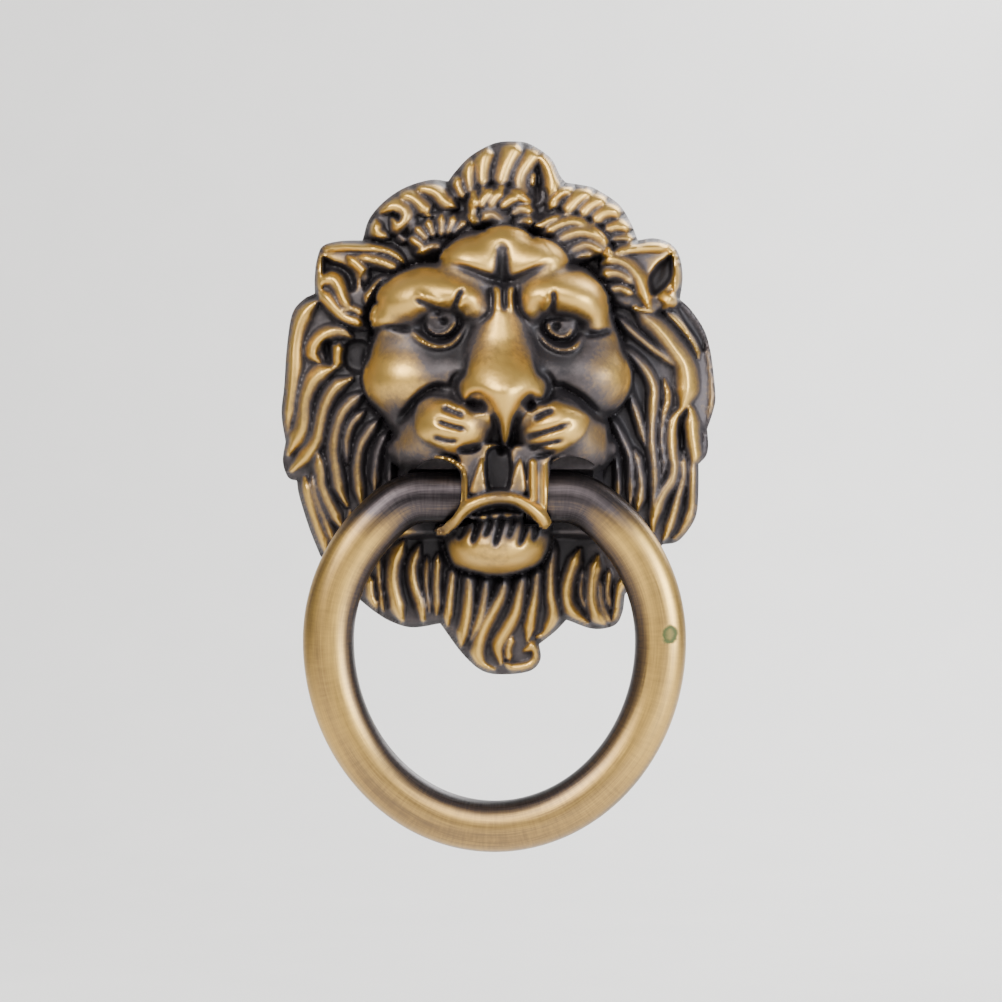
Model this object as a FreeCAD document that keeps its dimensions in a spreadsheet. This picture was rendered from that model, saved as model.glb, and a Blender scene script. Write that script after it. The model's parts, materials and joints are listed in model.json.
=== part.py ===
import FreeCAD, Part
import os
from math import atan2, cos, degrees, radians, sin, sqrt

V = FreeCAD.Vector

# Lion-head door knocker. Millimetres. x to the right, y back towards the door, z up.
# The mask stands on the door plane y = 0 and its face looks towards -y; the origin is
# midway between the two fixing bosses.

SIZES = {
    # mask
    "head_width": 64.8,          # side to side over the mane
    "head_height": 79.4,         # top tuft to beard tip
    "mane_height": 10.0,         # crown of the mane above the door
    "face_height": 16.5,         # face without its features
    "nose_height": 24.0,         # nose tip above the door
    "wall": 2.4,                 # casting wall
    # ring
    "pivot_drop": 13.6,          # fixing centre down to the ring's axis
    "ring_standoff": 8.75,       # back of the ring above the door
    "ring_width": 48.5,          # centre line, side to side
    "ring_fall": 48.05,          # axis to the lowest point of the centre line
    "ring_crown": 3.35,          # how far the arc's own circle rises over the axis
    "ring_tube": 7.5,
    "ring_bend": 8.0,            # bend between straight end and arc
    "ring_gap": 9.2,             # between the two ends
    "ring_offset": 0.8,          # side play, taken up towards -x
    "bore_depth": 4.2,
    "end_clearance": 1.3,        # round the ring's ends behind the jaw
    "swing_clearance": 0.6,      # round the arms as the ring swings
    "window_top": 5.4,           # mouth windows over and under the axis
    "window_bottom": 4.0,
    # pin and its saddle
    "pin_diameter": 3.0,
    "pin_length": 15.6,
    "running_clearance": 0.05,   # radial, ring on pin
    "seat_clearance": 0.02,      # radial, pin in saddle
    "saddle_width": 6.8,
    "saddle_height": 11.6,
    "saddle_root": 5.0,          # metal in front of the axis, up to the jaw
    # keeper plate and screws
    "plate_gap": 1.15,           # behind the ring's ends
    "plate_thickness": 1.0,
    "plate_width": 28.2,
    "plate_above": 6.0,          # axis to its top edge
    "plate_below": 5.2,          # axis to its bottom edge
    "plate_side_gap": 0.3,
    "rib_side_gap": 0.1,         # rib in the saddle's slot
    "screw_pitch": 6.4,
    "screw_diameter": 2.0,
    "screw_head": 3.4,
    "screw_head_height": 1.3,
    "screw_length": 3.2,         # in the casting
    # fixing bosses
    "fixing_pitch": 45.0,
    "boss_diameter": 7.0,
    "boss_height": 9.0,
    "tap_diameter": 3.3,         # M4
    "tap_depth": 6.5,
}

# The master pattern the outline and the features were laid out on.
MASTER_WIDTH = 65.3
MASTER_HEIGHT = 80.1
MASTER_NOSE = 24.0

# Edge of the mask on the master pattern, clockwise from the left upper tuft: one run per
# lock or lobe, and a sharp corner where two runs meet.
OUTLINE = [
    [(-20.7, 25.1), (-19.7, 28.3), (-17.4, 31.3), (-14.2, 33.1), (-7.8, 34.0)],
    [(-7.8, 34.0), (-5.2, 37.0), (-2.3, 38.8), (2.0, 39.85), (6.3, 38.7), (8.4, 36.1), (9.9, 33.8)],
    [(9.9, 33.8), (13.0, 33.3), (16.2, 31.8), (18.8, 29.0), (20.75, 25.1)],
    [(20.75, 25.1), (25.5, 24.7), (26.9, 23.2), (27.5, 19.8), (27.1, 16.2)],
    [(27.1, 16.2), (29.8, 13.2), (31.3, 10.2), (32.45, 2.5), (31.2, -3.3)],
    [(31.2, -3.3), (31.35, -5.8), (29.9, -8.6)],
    [(29.9, -8.6), (29.8, -14.5), (27.9, -19.0), (24.5, -20.7)],
    [(24.5, -20.7), (21.5, -24.0), (18.8, -28.3)],
    [(18.8, -28.3), (17.2, -32.7), (14.0, -33.2), (10.0, -32.05)],
    [(10.0, -32.05), (8.3, -33.8), (5.9, -35.7)],
    [(5.9, -35.7), (5.5, -39.0), (1.0, -40.25), (-4.7, -38.2), (-9.0, -32.6)],
    [(-9.0, -32.6), (-13.2, -33.2), (-17.5, -31.5), (-20.9, -29.2)],
    [(-20.9, -29.2), (-24.2, -26.0), (-27.1, -22.3)],
    [(-27.1, -22.3), (-29.8, -15.0), (-30.4, -11.1)],
    [(-30.4, -11.1), (-32.5, -9.2), (-32.3, -5.2)],
    [(-32.3, -5.2), (-32.85, -1.0), (-32.1, 9.0), (-30.0, 15.7), (-27.9, 17.1)],
    [(-27.9, 17.1), (-27.6, 21.0), (-25.8, 24.7), (-20.7, 25.1)],
]

# Rounded forms of the face on the master pattern:
# centre x, height, z, then half sizes across, outwards, along.
FEATURES = {
    "forehead_left": (-3.9, 8.5, 21.2, 5.7, 7.0, 4.7),
    "forehead_right": (4.6, 8.5, 21.2, 5.6, 7.0, 4.6),
    "brow_left": (-10.3, 9.5, 14.9, 9.0, 7.6, 5.0),
    "brow_right": (10.8, 9.5, 14.9, 8.9, 7.6, 5.0),
    "cheek_left": (-14.0, 8.5, 4.2, 6.8, 7.2, 6.1),
    "cheek_right": (13.2, 8.5, 4.4, 7.0, 7.2, 6.2),
    "nose_bridge": (0.3, 10.0, 8.0, 4.5, 10.5, 11.0),
    "nose_tip": (0.5, 14.5, 0.9, 6.2, 9.5, 4.3),
    "muzzle_left": (-6.1, 12.5, -3.0, 6.9, 8.7, 5.4),
    "muzzle_right": (7.2, 12.5, -3.3, 6.9, 8.7, 5.4),
    "chin": (-0.6, 9.0, -20.0, 8.0, 8.4, 4.8),
    "ear_left": (-24.0, 3.5, 20.6, 3.9, 5.6, 4.3),
    "ear_right": (23.9, 3.5, 20.6, 3.6, 5.6, 4.4),
}
# Front of the mouth between the two ring holes: left, right, bottom, top, height.
JAW = (-5.6, 7.0, -18.5, -5.5, 19.0)
# Lower lip, an arched bead across the jaw: centre x, z, radius, bead radius, half angle.
LIP = (-0.2, -23.6, 9.9, 0.95, 42.0)

doc = FreeCAD.newDocument("lion_knocker")
sheet = doc.addObject("Spreadsheet::Sheet", "sizes")
for row, (alias, value) in enumerate(SIZES.items(), start=1):
    sheet.set(f"A{row}", alias)
    sheet.set(f"B{row}", str(value))
    sheet.setAlias(f"B{row}", alias)
doc.recompute()

WIDE = sheet.head_width / MASTER_WIDTH
TALL = sheet.head_height / MASTER_HEIGHT


def across(value):
    return f"{value} * sizes.head_width / {MASTER_WIDTH}"


def along(value):
    return f"{value} * sizes.head_height / {MASTER_HEIGHT}"


def outwards(value):
    return f"{value} * sizes.nose_height / {MASTER_NOSE}"


def make(kind, name, sizes=None, x="0", y="0", z="0", turn=None):
    """One object, its sizes and its place bound to the sheet."""
    thing = doc.addObject(kind, name)
    if turn:
        thing.Placement = FreeCAD.Placement(V(), FreeCAD.Rotation(*turn))
    for prop, expression in (sizes or {}).items():
        thing.setExpression(prop, expression)
    for axis, expression in (("x", x), ("y", y), ("z", z)):
        if expression != "0":
            thing.setExpression(f"Placement.Base.{axis}", expression)
    return thing


def fuse(name, shapes):
    thing = doc.addObject("Part::MultiFuse", name)
    thing.Shapes = shapes
    return thing


def cut(name, base, tool, kind="Part::Cut"):
    thing = doc.addObject(kind, name)
    thing.Base, thing.Tool = base, tool
    return thing


def common(name, base, tool):
    return cut(name, base, tool, "Part::Common")


def ellipsoid(name, x, height, z, half_x, half_y, half_z):
    """Radius1 runs along z, Radius2 along x and Radius3 along y."""
    thing = make("Part::Ellipsoid", name,
                 {"Radius1": half_z, "Radius2": half_x, "Radius3": half_y},
                 x, f"-({height})", z)
    thing.Angle1, thing.Angle2, thing.Angle3 = -90, 90, 360
    return thing


TOWARDS_FRONT = (V(1, 0, 0), 90)     # local z turned to -y
ALONG_X = (V(0, 1, 0), 90)
PIVOT_Y, PIVOT_Z = "-(sizes.ring_standoff + sizes.ring_tube / 2)", "-sizes.pivot_drop"


def box(name, left, right, back, front, bottom, top):
    """Box between six expressions; back and front are y, front the lower one."""
    return make("Part::Box", name,
                {"Length": f"({right}) - ({left})", "Width": f"({back}) - ({front})",
                 "Height": f"({top}) - ({bottom})"}, left, front, bottom)


def peg(name, diameter, length, x, y, z, turn):
    return make("Part::Cylinder", name, {"Radius": f"({diameter}) / 2", "Height": length},
                x, y, z, turn)


# ---------------------------------------------------------------- mask

outline = doc.addObject("Sketcher::SketchObject", "mask_outline")
outline.Placement = FreeCAD.Placement(V(), FreeCAD.Rotation(*TOWARDS_FRONT))
for run in OUTLINE:
    curve = Part.BSplineCurve()
    curve.interpolate([V(x * WIDE, z * TALL, 0) for x, z in run])
    outline.addGeometry(curve, False)

blank = doc.addObject("Part::Extrusion", "mask_blank")
blank.Base = outline
blank.DirMode = "Custom"
blank.Dir = V(0, -1, 0)
blank.Solid = True
blank.setExpression("LengthFwd", "sizes.mane_height * 1.2")

MANE_X, MANE_Z = 36.0, 46.0
FACE_X, FACE_Z = 21.0, 29.0
dome = ellipsoid("mane_dome", "0", "0", "0", across(MANE_X), "sizes.mane_height", along(MANE_Z))
mane = common("mane", blank, dome)

face = ellipsoid("face_mass", "0", "0", "0", across(FACE_X), "sizes.face_height", along(FACE_Z))
features = [
    ellipsoid(name, across(x), outwards(height), along(z), across(half_x), outwards(half_y),
              along(half_z))
    for name, (x, height, z, half_x, half_y, half_z) in FEATURES.items()
]
left, right, bottom, top, height = JAW
jaw = box("jaw", across(left), across(right), PIVOT_Y, f"-({outwards(height)})",
          along(bottom), along(top))
lip_x, lip_z, lip_radius, lip_bead, lip_half = LIP
lip = make("Part::Torus", "lower_lip",
           {"Radius1": across(lip_radius), "Radius2": outwards(lip_bead)},
           across(lip_x), f"-({outwards(JAW[4])})", along(lip_z))
lip.Placement.Rotation = FreeCAD.Rotation(V(0, -1, 0), 90 - lip_half) * \
    FreeCAD.Rotation(*TOWARDS_FRONT)
lip.Angle3 = 2 * lip_half
door_side = box("in_front_of_door", "-sizes.head_width", "sizes.head_width", "0",
                "-2 * sizes.nose_height", "-sizes.head_height", "sizes.head_height")
solid_mask = common("mask_solid", fuse("mask_forms", [mane, face, jaw, lip] + features), door_side)

# Hollow back: a wide shallow pan under the mane and a deeper one under the face.
pan = ellipsoid("mane_hollow", "0", "0", "0", across(28.0), "sizes.mane_height - sizes.wall",
                along(30.5))
well = ellipsoid("face_hollow", "0", "0", "0", f"{across(FACE_X)} - sizes.wall",
                 "sizes.face_height - sizes.wall", f"{along(FACE_Z)} - sizes.wall")
saddle_back = "-sizes.ring_standoff + sizes.plate_gap"
mouth_side = "(sizes.plate_width / 2 + sizes.plate_side_gap)"
mouth = box("mouth_hollow", f"-{mouth_side}", mouth_side, "0", PIVOT_Y,
            f"{PIVOT_Z} - sizes.plate_below - sizes.plate_side_gap",
            f"{PIVOT_Z} + sizes.plate_above + sizes.plate_side_gap")

# Room for the ring in the mouth: a barrel for each end, a window through the front beside
# the jaw, and a flared sector below and in front for the arms as they swing out.
TUBE = sheet.ring_tube / 2
CENTRE = sheet.ring_crown - sheet.ring_width / 2      # circle of the arc, from the axis
SWING_BACK, SWING_OUT, SWING_SPARE = 11.0, 95.0, 4.0
WINDOW_OUTSIDE = 14.5


def reach_down(x):
    """How far below its axis the ring reaches, x from the ring's middle."""
    inner = sheet.ring_width / 2 - TUBE
    return max(TUBE, -CENTRE - sqrt(inner ** 2 - x ** 2))


def arm_room(name, side, stations):
    """Revolve the arm's reach about the ring's axis through the whole swing."""
    play = sheet.ring_offset + sheet.swing_clearance
    points = [V(side * (x - play * (x > stations[0])), reach_down(x) + sheet.swing_clearance)
              for x in stations]
    points = [V(points[0].x, 0)] + points + [V(points[-1].x, 0)]
    profile = doc.addObject("Sketcher::SketchObject", name + "_profile")
    for a, b in zip(points, points[1:] + points[:1]):
        profile.addGeometry(Part.LineSegment(a, b), False)
    start = SWING_BACK + SWING_SPARE - 90
    profile.Placement = FreeCAD.Placement(V(), FreeCAD.Rotation(V(1, 0, 0), start))
    profile.setExpression("Placement.Base.y", PIVOT_Y)
    profile.setExpression("Placement.Base.z", PIVOT_Z)
    turned = doc.addObject("Part::Revolution", name)
    turned.Source = profile
    turned.Axis = V(1, 0, 0)
    turned.setExpression("Base.y", PIVOT_Y)
    turned.setExpression("Base.z", PIVOT_Z)
    turned.Angle = -(SWING_BACK + SWING_OUT + 2 * SWING_SPARE)
    turned.Solid = True
    return turned


barrel = "sizes.ring_tube + 2 * sizes.end_clearance"
barrel_outside = f"({across(WINDOW_OUTSIDE)} + sizes.ring_offset + sizes.ring_tube / 4)"
barrel_length = f"{barrel_outside} - sizes.saddle_width / 2"
window = ("0", f"-{sheet.nose_height} * 1.2", f"{PIVOT_Z} - sizes.window_bottom",
          f"{PIVOT_Z} + sizes.window_top")
swing_room = [
    peg("barrel_left", barrel, barrel_length, f"-{barrel_outside}", PIVOT_Y, PIVOT_Z, ALONG_X),
    peg("barrel_right", barrel, barrel_length, "sizes.saddle_width / 2", PIVOT_Y, PIVOT_Z, ALONG_X),
    box("window_left", across(-WINDOW_OUTSIDE), across(JAW[0]), *window),
    box("window_right", across(JAW[1]), across(WINDOW_OUTSIDE), *window),
]
ARM_STATIONS = [9.5, 11.5, 13.5, 15.5, 17.5, 19.0]
for side, word in ((-1, "left"), (1, "right")):
    swing_room.append(arm_room(f"arm_room_{word}", side, [sheet.saddle_width / 2] + ARM_STATIONS))

saddle = box("saddle", "-sizes.saddle_width / 2", "sizes.saddle_width / 2", saddle_back,
             f"{PIVOT_Y} - sizes.saddle_root",
             f"{PIVOT_Z} - sizes.saddle_height / 2", f"{PIVOT_Z} + sizes.saddle_height / 2")
bosses = [peg(f"boss_{word}", "sizes.boss_diameter", "sizes.boss_height", "0", "0",
              f"{sign} * sizes.fixing_pitch / 2", TOWARDS_FRONT)
          for word, sign in (("top", 1), ("bottom", -1))]
spared = cut("spared_hollow", fuse("mask_hollow", [pan, well, mouth]), fuse("posts", [saddle] + bosses))

seat = "sizes.pin_diameter + 2 * sizes.seat_clearance"
drilling = [
    peg("pin_seat", seat, "sizes.saddle_width * 1.2", "-sizes.saddle_width * 0.6",
        PIVOT_Y, PIVOT_Z, ALONG_X),
    box("pin_slot", "-sizes.saddle_width * 0.6", "sizes.saddle_width * 0.6",
        f"{saddle_back} + 1", PIVOT_Y, f"{PIVOT_Z} - ({seat}) / 2", f"{PIVOT_Z} + ({seat}) / 2"),
]
for word, sign in (("top", 1), ("bottom", -1)):
    drilling.append(peg(f"tap_{word}", "sizes.tap_diameter", "sizes.tap_depth", "0", "0",
                        f"{sign} * sizes.fixing_pitch / 2", TOWARDS_FRONT))
    drilling.append(peg(f"keeper_tap_{word}", "sizes.screw_diameter", "sizes.screw_length + 0.6",
                        "0", saddle_back, f"{PIVOT_Z} + {sign} * sizes.screw_pitch / 2",
                        TOWARDS_FRONT))
emptied = cut("mask_emptied", solid_mask, spared)
opened = cut("mask_opened", emptied, fuse("swing_room", swing_room))
head = cut("lion_head", opened, fuse("drilling", drilling))

# ---------------------------------------------------------------- ring

# Half of the centre line from the axis down: straight end, bend, arc, then the lower half
# of an oval. The bend touches the straight end and, from inside, the arc's circle.
radius = sheet.ring_width / 2
bend = sheet.ring_bend
bend_x = sqrt((radius - bend) ** 2 - (CENTRE + bend) ** 2)
touch = atan2(-bend - CENTRE, bend_x)
path = doc.addObject("Sketcher::SketchObject", "ring_path")
path.Placement = FreeCAD.Placement(V(), FreeCAD.Rotation(*TOWARDS_FRONT))
for side in (-1, 1):
    def on(x, z):
        return V(side * x, z, 0)

    middle = (touch + radians(90)) / 2
    meets = (radius * cos(touch), CENTRE + radius * sin(touch))
    bend_mid = (bend_x + bend * cos(middle), -bend + bend * sin(middle))
    path.addGeometry(Part.LineSegment(on(sheet.ring_gap / 2, 0), on(bend_x, 0)), False)
    path.addGeometry(Part.Arc(on(bend_x, 0), on(*bend_mid), on(*meets)), False)
    half = touch / 2
    path.addGeometry(Part.Arc(on(*meets), on(radius * cos(half), CENTRE + radius * sin(half)),
                              on(radius, CENTRE)), False)
depth = sheet.ring_fall + CENTRE
oval = Part.Ellipse(V(0, CENTRE - depth, 0), V(radius, CENTRE, 0), V(0, CENTRE, 0))
start, end = oval.parameter(V(-radius, CENTRE, 0)), oval.parameter(V(radius, CENTRE, 0))
path.addGeometry(Part.ArcOfEllipse(oval, start, end), False)
path.setExpression("Placement.Base.x", "-sizes.ring_offset")
path.setExpression("Placement.Base.y", PIVOT_Y)
path.setExpression("Placement.Base.z", PIVOT_Z)

section = doc.addObject("Part::Circle", "ring_section")
section.setExpression("Radius", "sizes.ring_tube / 2")
section.Placement.Rotation = FreeCAD.Rotation(*ALONG_X)
section.setExpression("Placement.Base.x", "-sizes.ring_gap / 2 - sizes.ring_offset")
section.setExpression("Placement.Base.y", PIVOT_Y)
section.setExpression("Placement.Base.z", PIVOT_Z)
doc.recompute()

rod = doc.addObject("Part::Sweep", "ring_rod")
rod.Sections = [section]
rod.Spine = (path, [f"Edge{n + 1}" for n in range(len(path.Shape.Edges))])
rod.Solid = True
rod.Frenet = False
bore = "sizes.pin_diameter + 2 * sizes.running_clearance"
bores = [
    peg("bore_left", bore, "sizes.bore_depth + 1",
        "-sizes.ring_offset - sizes.ring_gap / 2 - sizes.bore_depth", PIVOT_Y, PIVOT_Z, ALONG_X),
    peg("bore_right", bore, "sizes.bore_depth + 1",
        "-sizes.ring_offset + sizes.ring_gap / 2 - 1", PIVOT_Y, PIVOT_Z, ALONG_X),
]
ring = cut("knocker_ring", rod, fuse("ring_bores", bores))

# ---------------------------------------------------------------- pin, keeper and screws

pin = doc.addObject("PartDesign::Body", "pivot_pin")
pin_plane = next(f for f in pin.Origin.OriginFeatures if f.Role == "YZ_Plane")
pin_sketch = pin.newObject("Sketcher::SketchObject", "pin_section")
pin_sketch.AttachmentSupport = [(pin_plane, "")]
pin_sketch.MapMode = "FlatFace"
pin_sketch.addGeometry(Part.Circle(V(), V(0, 0, 1), sheet.pin_diameter / 2), False)
pad = pin.newObject("PartDesign::Pad", "pin_rod")
pad.Profile = pin_sketch
pad.Midplane = True
pad.setExpression("Length", "sizes.pin_length")
doc.recompute()
ease = pin.newObject("PartDesign::Chamfer", "pin_ends")
ease.Base = (pad, [f"Edge{n + 1}" for n, edge in enumerate(pad.Shape.Edges)
                   if isinstance(edge.Curve, Part.Circle)])
ease.Size = 0.3
pin.setExpression("Placement.Base.y", PIVOT_Y)
pin.setExpression("Placement.Base.z", PIVOT_Z)

# Plate over the ring's ends, with a rib that holds the pin down in its slot.
plate_back = f"{saddle_back} + sizes.plate_thickness"
plate = box("plate_blank", "-sizes.plate_width / 2", "sizes.plate_width / 2", plate_back,
            saddle_back, f"{PIVOT_Z} - sizes.plate_below", f"{PIVOT_Z} + sizes.plate_above")
plate_cuts = [peg(f"plate_hole_{word}", "sizes.screw_diameter + 0.4",
                  "sizes.plate_thickness * 2", "0", f"{plate_back} + 0.5",
                  f"{PIVOT_Z} + {sign} * sizes.screw_pitch / 2", TOWARDS_FRONT)
              for word, sign in (("top", 1), ("bottom", -1))]
drilled_plate = cut("plate_drilled", plate, fuse("plate_cuts", plate_cuts))
doc.recompute()
rounded_plate = doc.addObject("Part::Fillet", "plate_rounded")
rounded_plate.Base = drilled_plate
corners = [n + 1 for n, edge in enumerate(drilled_plate.Shape.Edges)
           if isinstance(edge.Curve, Part.Line)
           and abs(edge.tangentAt(edge.FirstParameter).y) > 0.99]
rounded_plate.Edges = [(n, 1.0, 1.0) for n in corners]
rib_half = "(sizes.pin_diameter / 2 - sizes.rib_side_gap)"
rib = box("pin_rib", "-sizes.saddle_width / 2", "sizes.saddle_width / 2", plate_back,
          f"{PIVOT_Y} + sizes.pin_diameter / 2", f"{PIVOT_Z} - {rib_half}",
          f"{PIVOT_Z} + {rib_half}")
keeper = fuse("pin_keeper", [rounded_plate, rib])

screws = []
for word, sign in (("top", 1), ("bottom", -1)):
    z = f"{PIVOT_Z} + {sign} * sizes.screw_pitch / 2"
    under_head = plate_back
    shank = peg(f"screw_shank_{word}", "sizes.screw_diameter - 2 * sizes.seat_clearance",
                "sizes.screw_length + sizes.plate_thickness", "0", under_head, z, TOWARDS_FRONT)
    cap = peg(f"screw_cap_{word}", "sizes.screw_head", "sizes.screw_head_height", "0",
              f"{under_head} + sizes.screw_head_height", z, TOWARDS_FRONT)
    whole = fuse(f"screw_whole_{word}", [shank, cap])
    slot = box(f"screw_slot_{word}", "-sizes.screw_head", "sizes.screw_head",
               f"{under_head} + sizes.screw_head_height * 2",
               f"{under_head} + sizes.screw_head_height / 2", f"{z} - 0.25", f"{z} + 0.25")
    screws.append(cut(f"screw_{word}", whole, slot))
screw_pair = doc.addObject("Part::Compound", "keeper_screws")
screw_pair.Links = screws

doc.recompute()

NODES = {"lion_head": head, "knocker_ring": ring, "pivot_pin": pin, "pin_keeper": keeper,
         "keeper_screws": screw_pair}
for thing in doc.Objects:
    if set(thing.State) & {"Invalid", "Error"}:
        raise RuntimeError(f"{thing.Label} did not recompute: {thing.State}")
os.makedirs("parts", exist_ok=True)
for node, thing in NODES.items():
    thing.Label = node
    if thing.Shape.isNull() or not thing.Shape.isValid():
        raise RuntimeError(f"{node} has no valid shape")
    thing.Shape.exportStep(f"parts/{node}.step")
    solids = thing.Shape.Solids
    print(node, len(solids), "solid(s)", round(thing.Shape.Volume, 1), "mm3")
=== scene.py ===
import json
from math import pi, radians

import bmesh
import bpy
import numpy as np
from bpy.props import FloatProperty, FloatVectorProperty, IntProperty, PointerProperty
from mathutils import Matrix, Vector


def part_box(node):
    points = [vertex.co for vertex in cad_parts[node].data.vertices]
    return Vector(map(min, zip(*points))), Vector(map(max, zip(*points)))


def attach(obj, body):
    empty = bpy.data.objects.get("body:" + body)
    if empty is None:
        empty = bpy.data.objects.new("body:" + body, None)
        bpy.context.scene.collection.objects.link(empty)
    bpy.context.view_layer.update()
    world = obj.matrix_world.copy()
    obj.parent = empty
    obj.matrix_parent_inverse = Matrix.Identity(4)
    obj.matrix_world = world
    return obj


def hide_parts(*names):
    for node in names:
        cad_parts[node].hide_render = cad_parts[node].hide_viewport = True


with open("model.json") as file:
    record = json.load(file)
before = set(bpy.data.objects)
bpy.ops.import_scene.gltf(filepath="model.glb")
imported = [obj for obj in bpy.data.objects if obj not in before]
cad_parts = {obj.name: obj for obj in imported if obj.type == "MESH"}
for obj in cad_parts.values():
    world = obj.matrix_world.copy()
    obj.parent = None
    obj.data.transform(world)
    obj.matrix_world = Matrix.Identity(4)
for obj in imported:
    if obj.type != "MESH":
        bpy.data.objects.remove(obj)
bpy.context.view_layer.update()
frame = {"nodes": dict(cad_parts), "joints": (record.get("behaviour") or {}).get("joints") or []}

PIVOT = Vector(frame["joints"][0]["pos_m"])
MM = 0.001

bl_info = {
    "name": "Lion Head Door Knocker",
    "version": (1, 0, 0),
    "blender": (4, 5, 0),
    "location": "View3D > Sidebar > Knocker",
    "description": "Builds a cast lion head mask, its ring, the pin, the keeper and the stage",
    "category": "Object",
}

# ------------------------------------------------------------------ the sculptor's tables
# All in millimetres over the door plane, x to the right and z up, clockwise round the edge.

EDGE_RUNS = [
    [(-20.7, 25.1), (-19.7, 28.3), (-17.4, 31.0), (-14.2, 33.1), (-10.5, 34.2), (-7.8, 34.0)],
    [(-7.8, 34.0), (-6.6, 35.6), (-4.3, 37.9), (-0.9, 39.7), (2.0, 40.0), (4.5, 39.6), (7.6, 37.5),
     (9.0, 34.9), (9.9, 33.8)],
    [(9.9, 33.8), (13.0, 33.3), (14.5, 32.8), (17.8, 30.6), (19.6, 27.9), (20.75, 25.1)],
    [(20.75, 25.1), (23.2, 25.4), (25.5, 24.7), (26.9, 23.0), (27.5, 19.8), (27.1, 16.2)],
    [(27.1, 16.2), (28.7, 14.7), (30.7, 11.7), (31.6, 8.8), (32.1, 5.5), (32.45, 1.5), (32.1, -0.6),
     (31.2, -3.3)],
    [(31.2, -3.3), (31.35, -5.8), (31.0, -7.4), (29.9, -8.6)],
    [(29.9, -8.6), (29.9, -12.0), (29.7, -15.5), (28.9, -17.7), (26.8, -20.2), (24.5, -20.7)],
    [(24.5, -20.7), (21.5, -24.0), (18.8, -28.3)],
    [(18.8, -28.3), (18.4, -31.0), (17.2, -32.9), (14.0, -33.4), (10.0, -32.05)],
    [(10.0, -32.05), (8.3, -33.8), (5.9, -35.7)],
    [(5.9, -35.7), (6.1, -38.0), (4.6, -39.7), (1.0, -40.25), (-2.5, -39.8), (-5.6, -37.2),
     (-9.0, -32.6)],
    [(-9.0, -32.6), (-13.2, -33.2), (-16.4, -32.3), (-18.9, -30.8), (-20.9, -29.2)],
    [(-20.9, -29.2), (-24.2, -26.0), (-27.1, -22.3)],
    [(-27.1, -22.3), (-28.7, -18.3), (-30.2, -13.5), (-30.6, -11.1)],
    [(-30.6, -11.1), (-31.9, -10.6), (-32.7, -8.2), (-32.3, -5.2)],
    [(-32.3, -5.2), (-32.9, -1.0), (-32.5, 3.2), (-32.1, 9.0), (-31.3, 14.0), (-29.6, 16.2),
     (-27.9, 17.1)],
    [(-27.9, 17.1), (-27.9, 19.8), (-27.5, 22.5), (-26.6, 24.3), (-24.0, 25.0), (-20.7, 25.1)],
]

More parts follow.
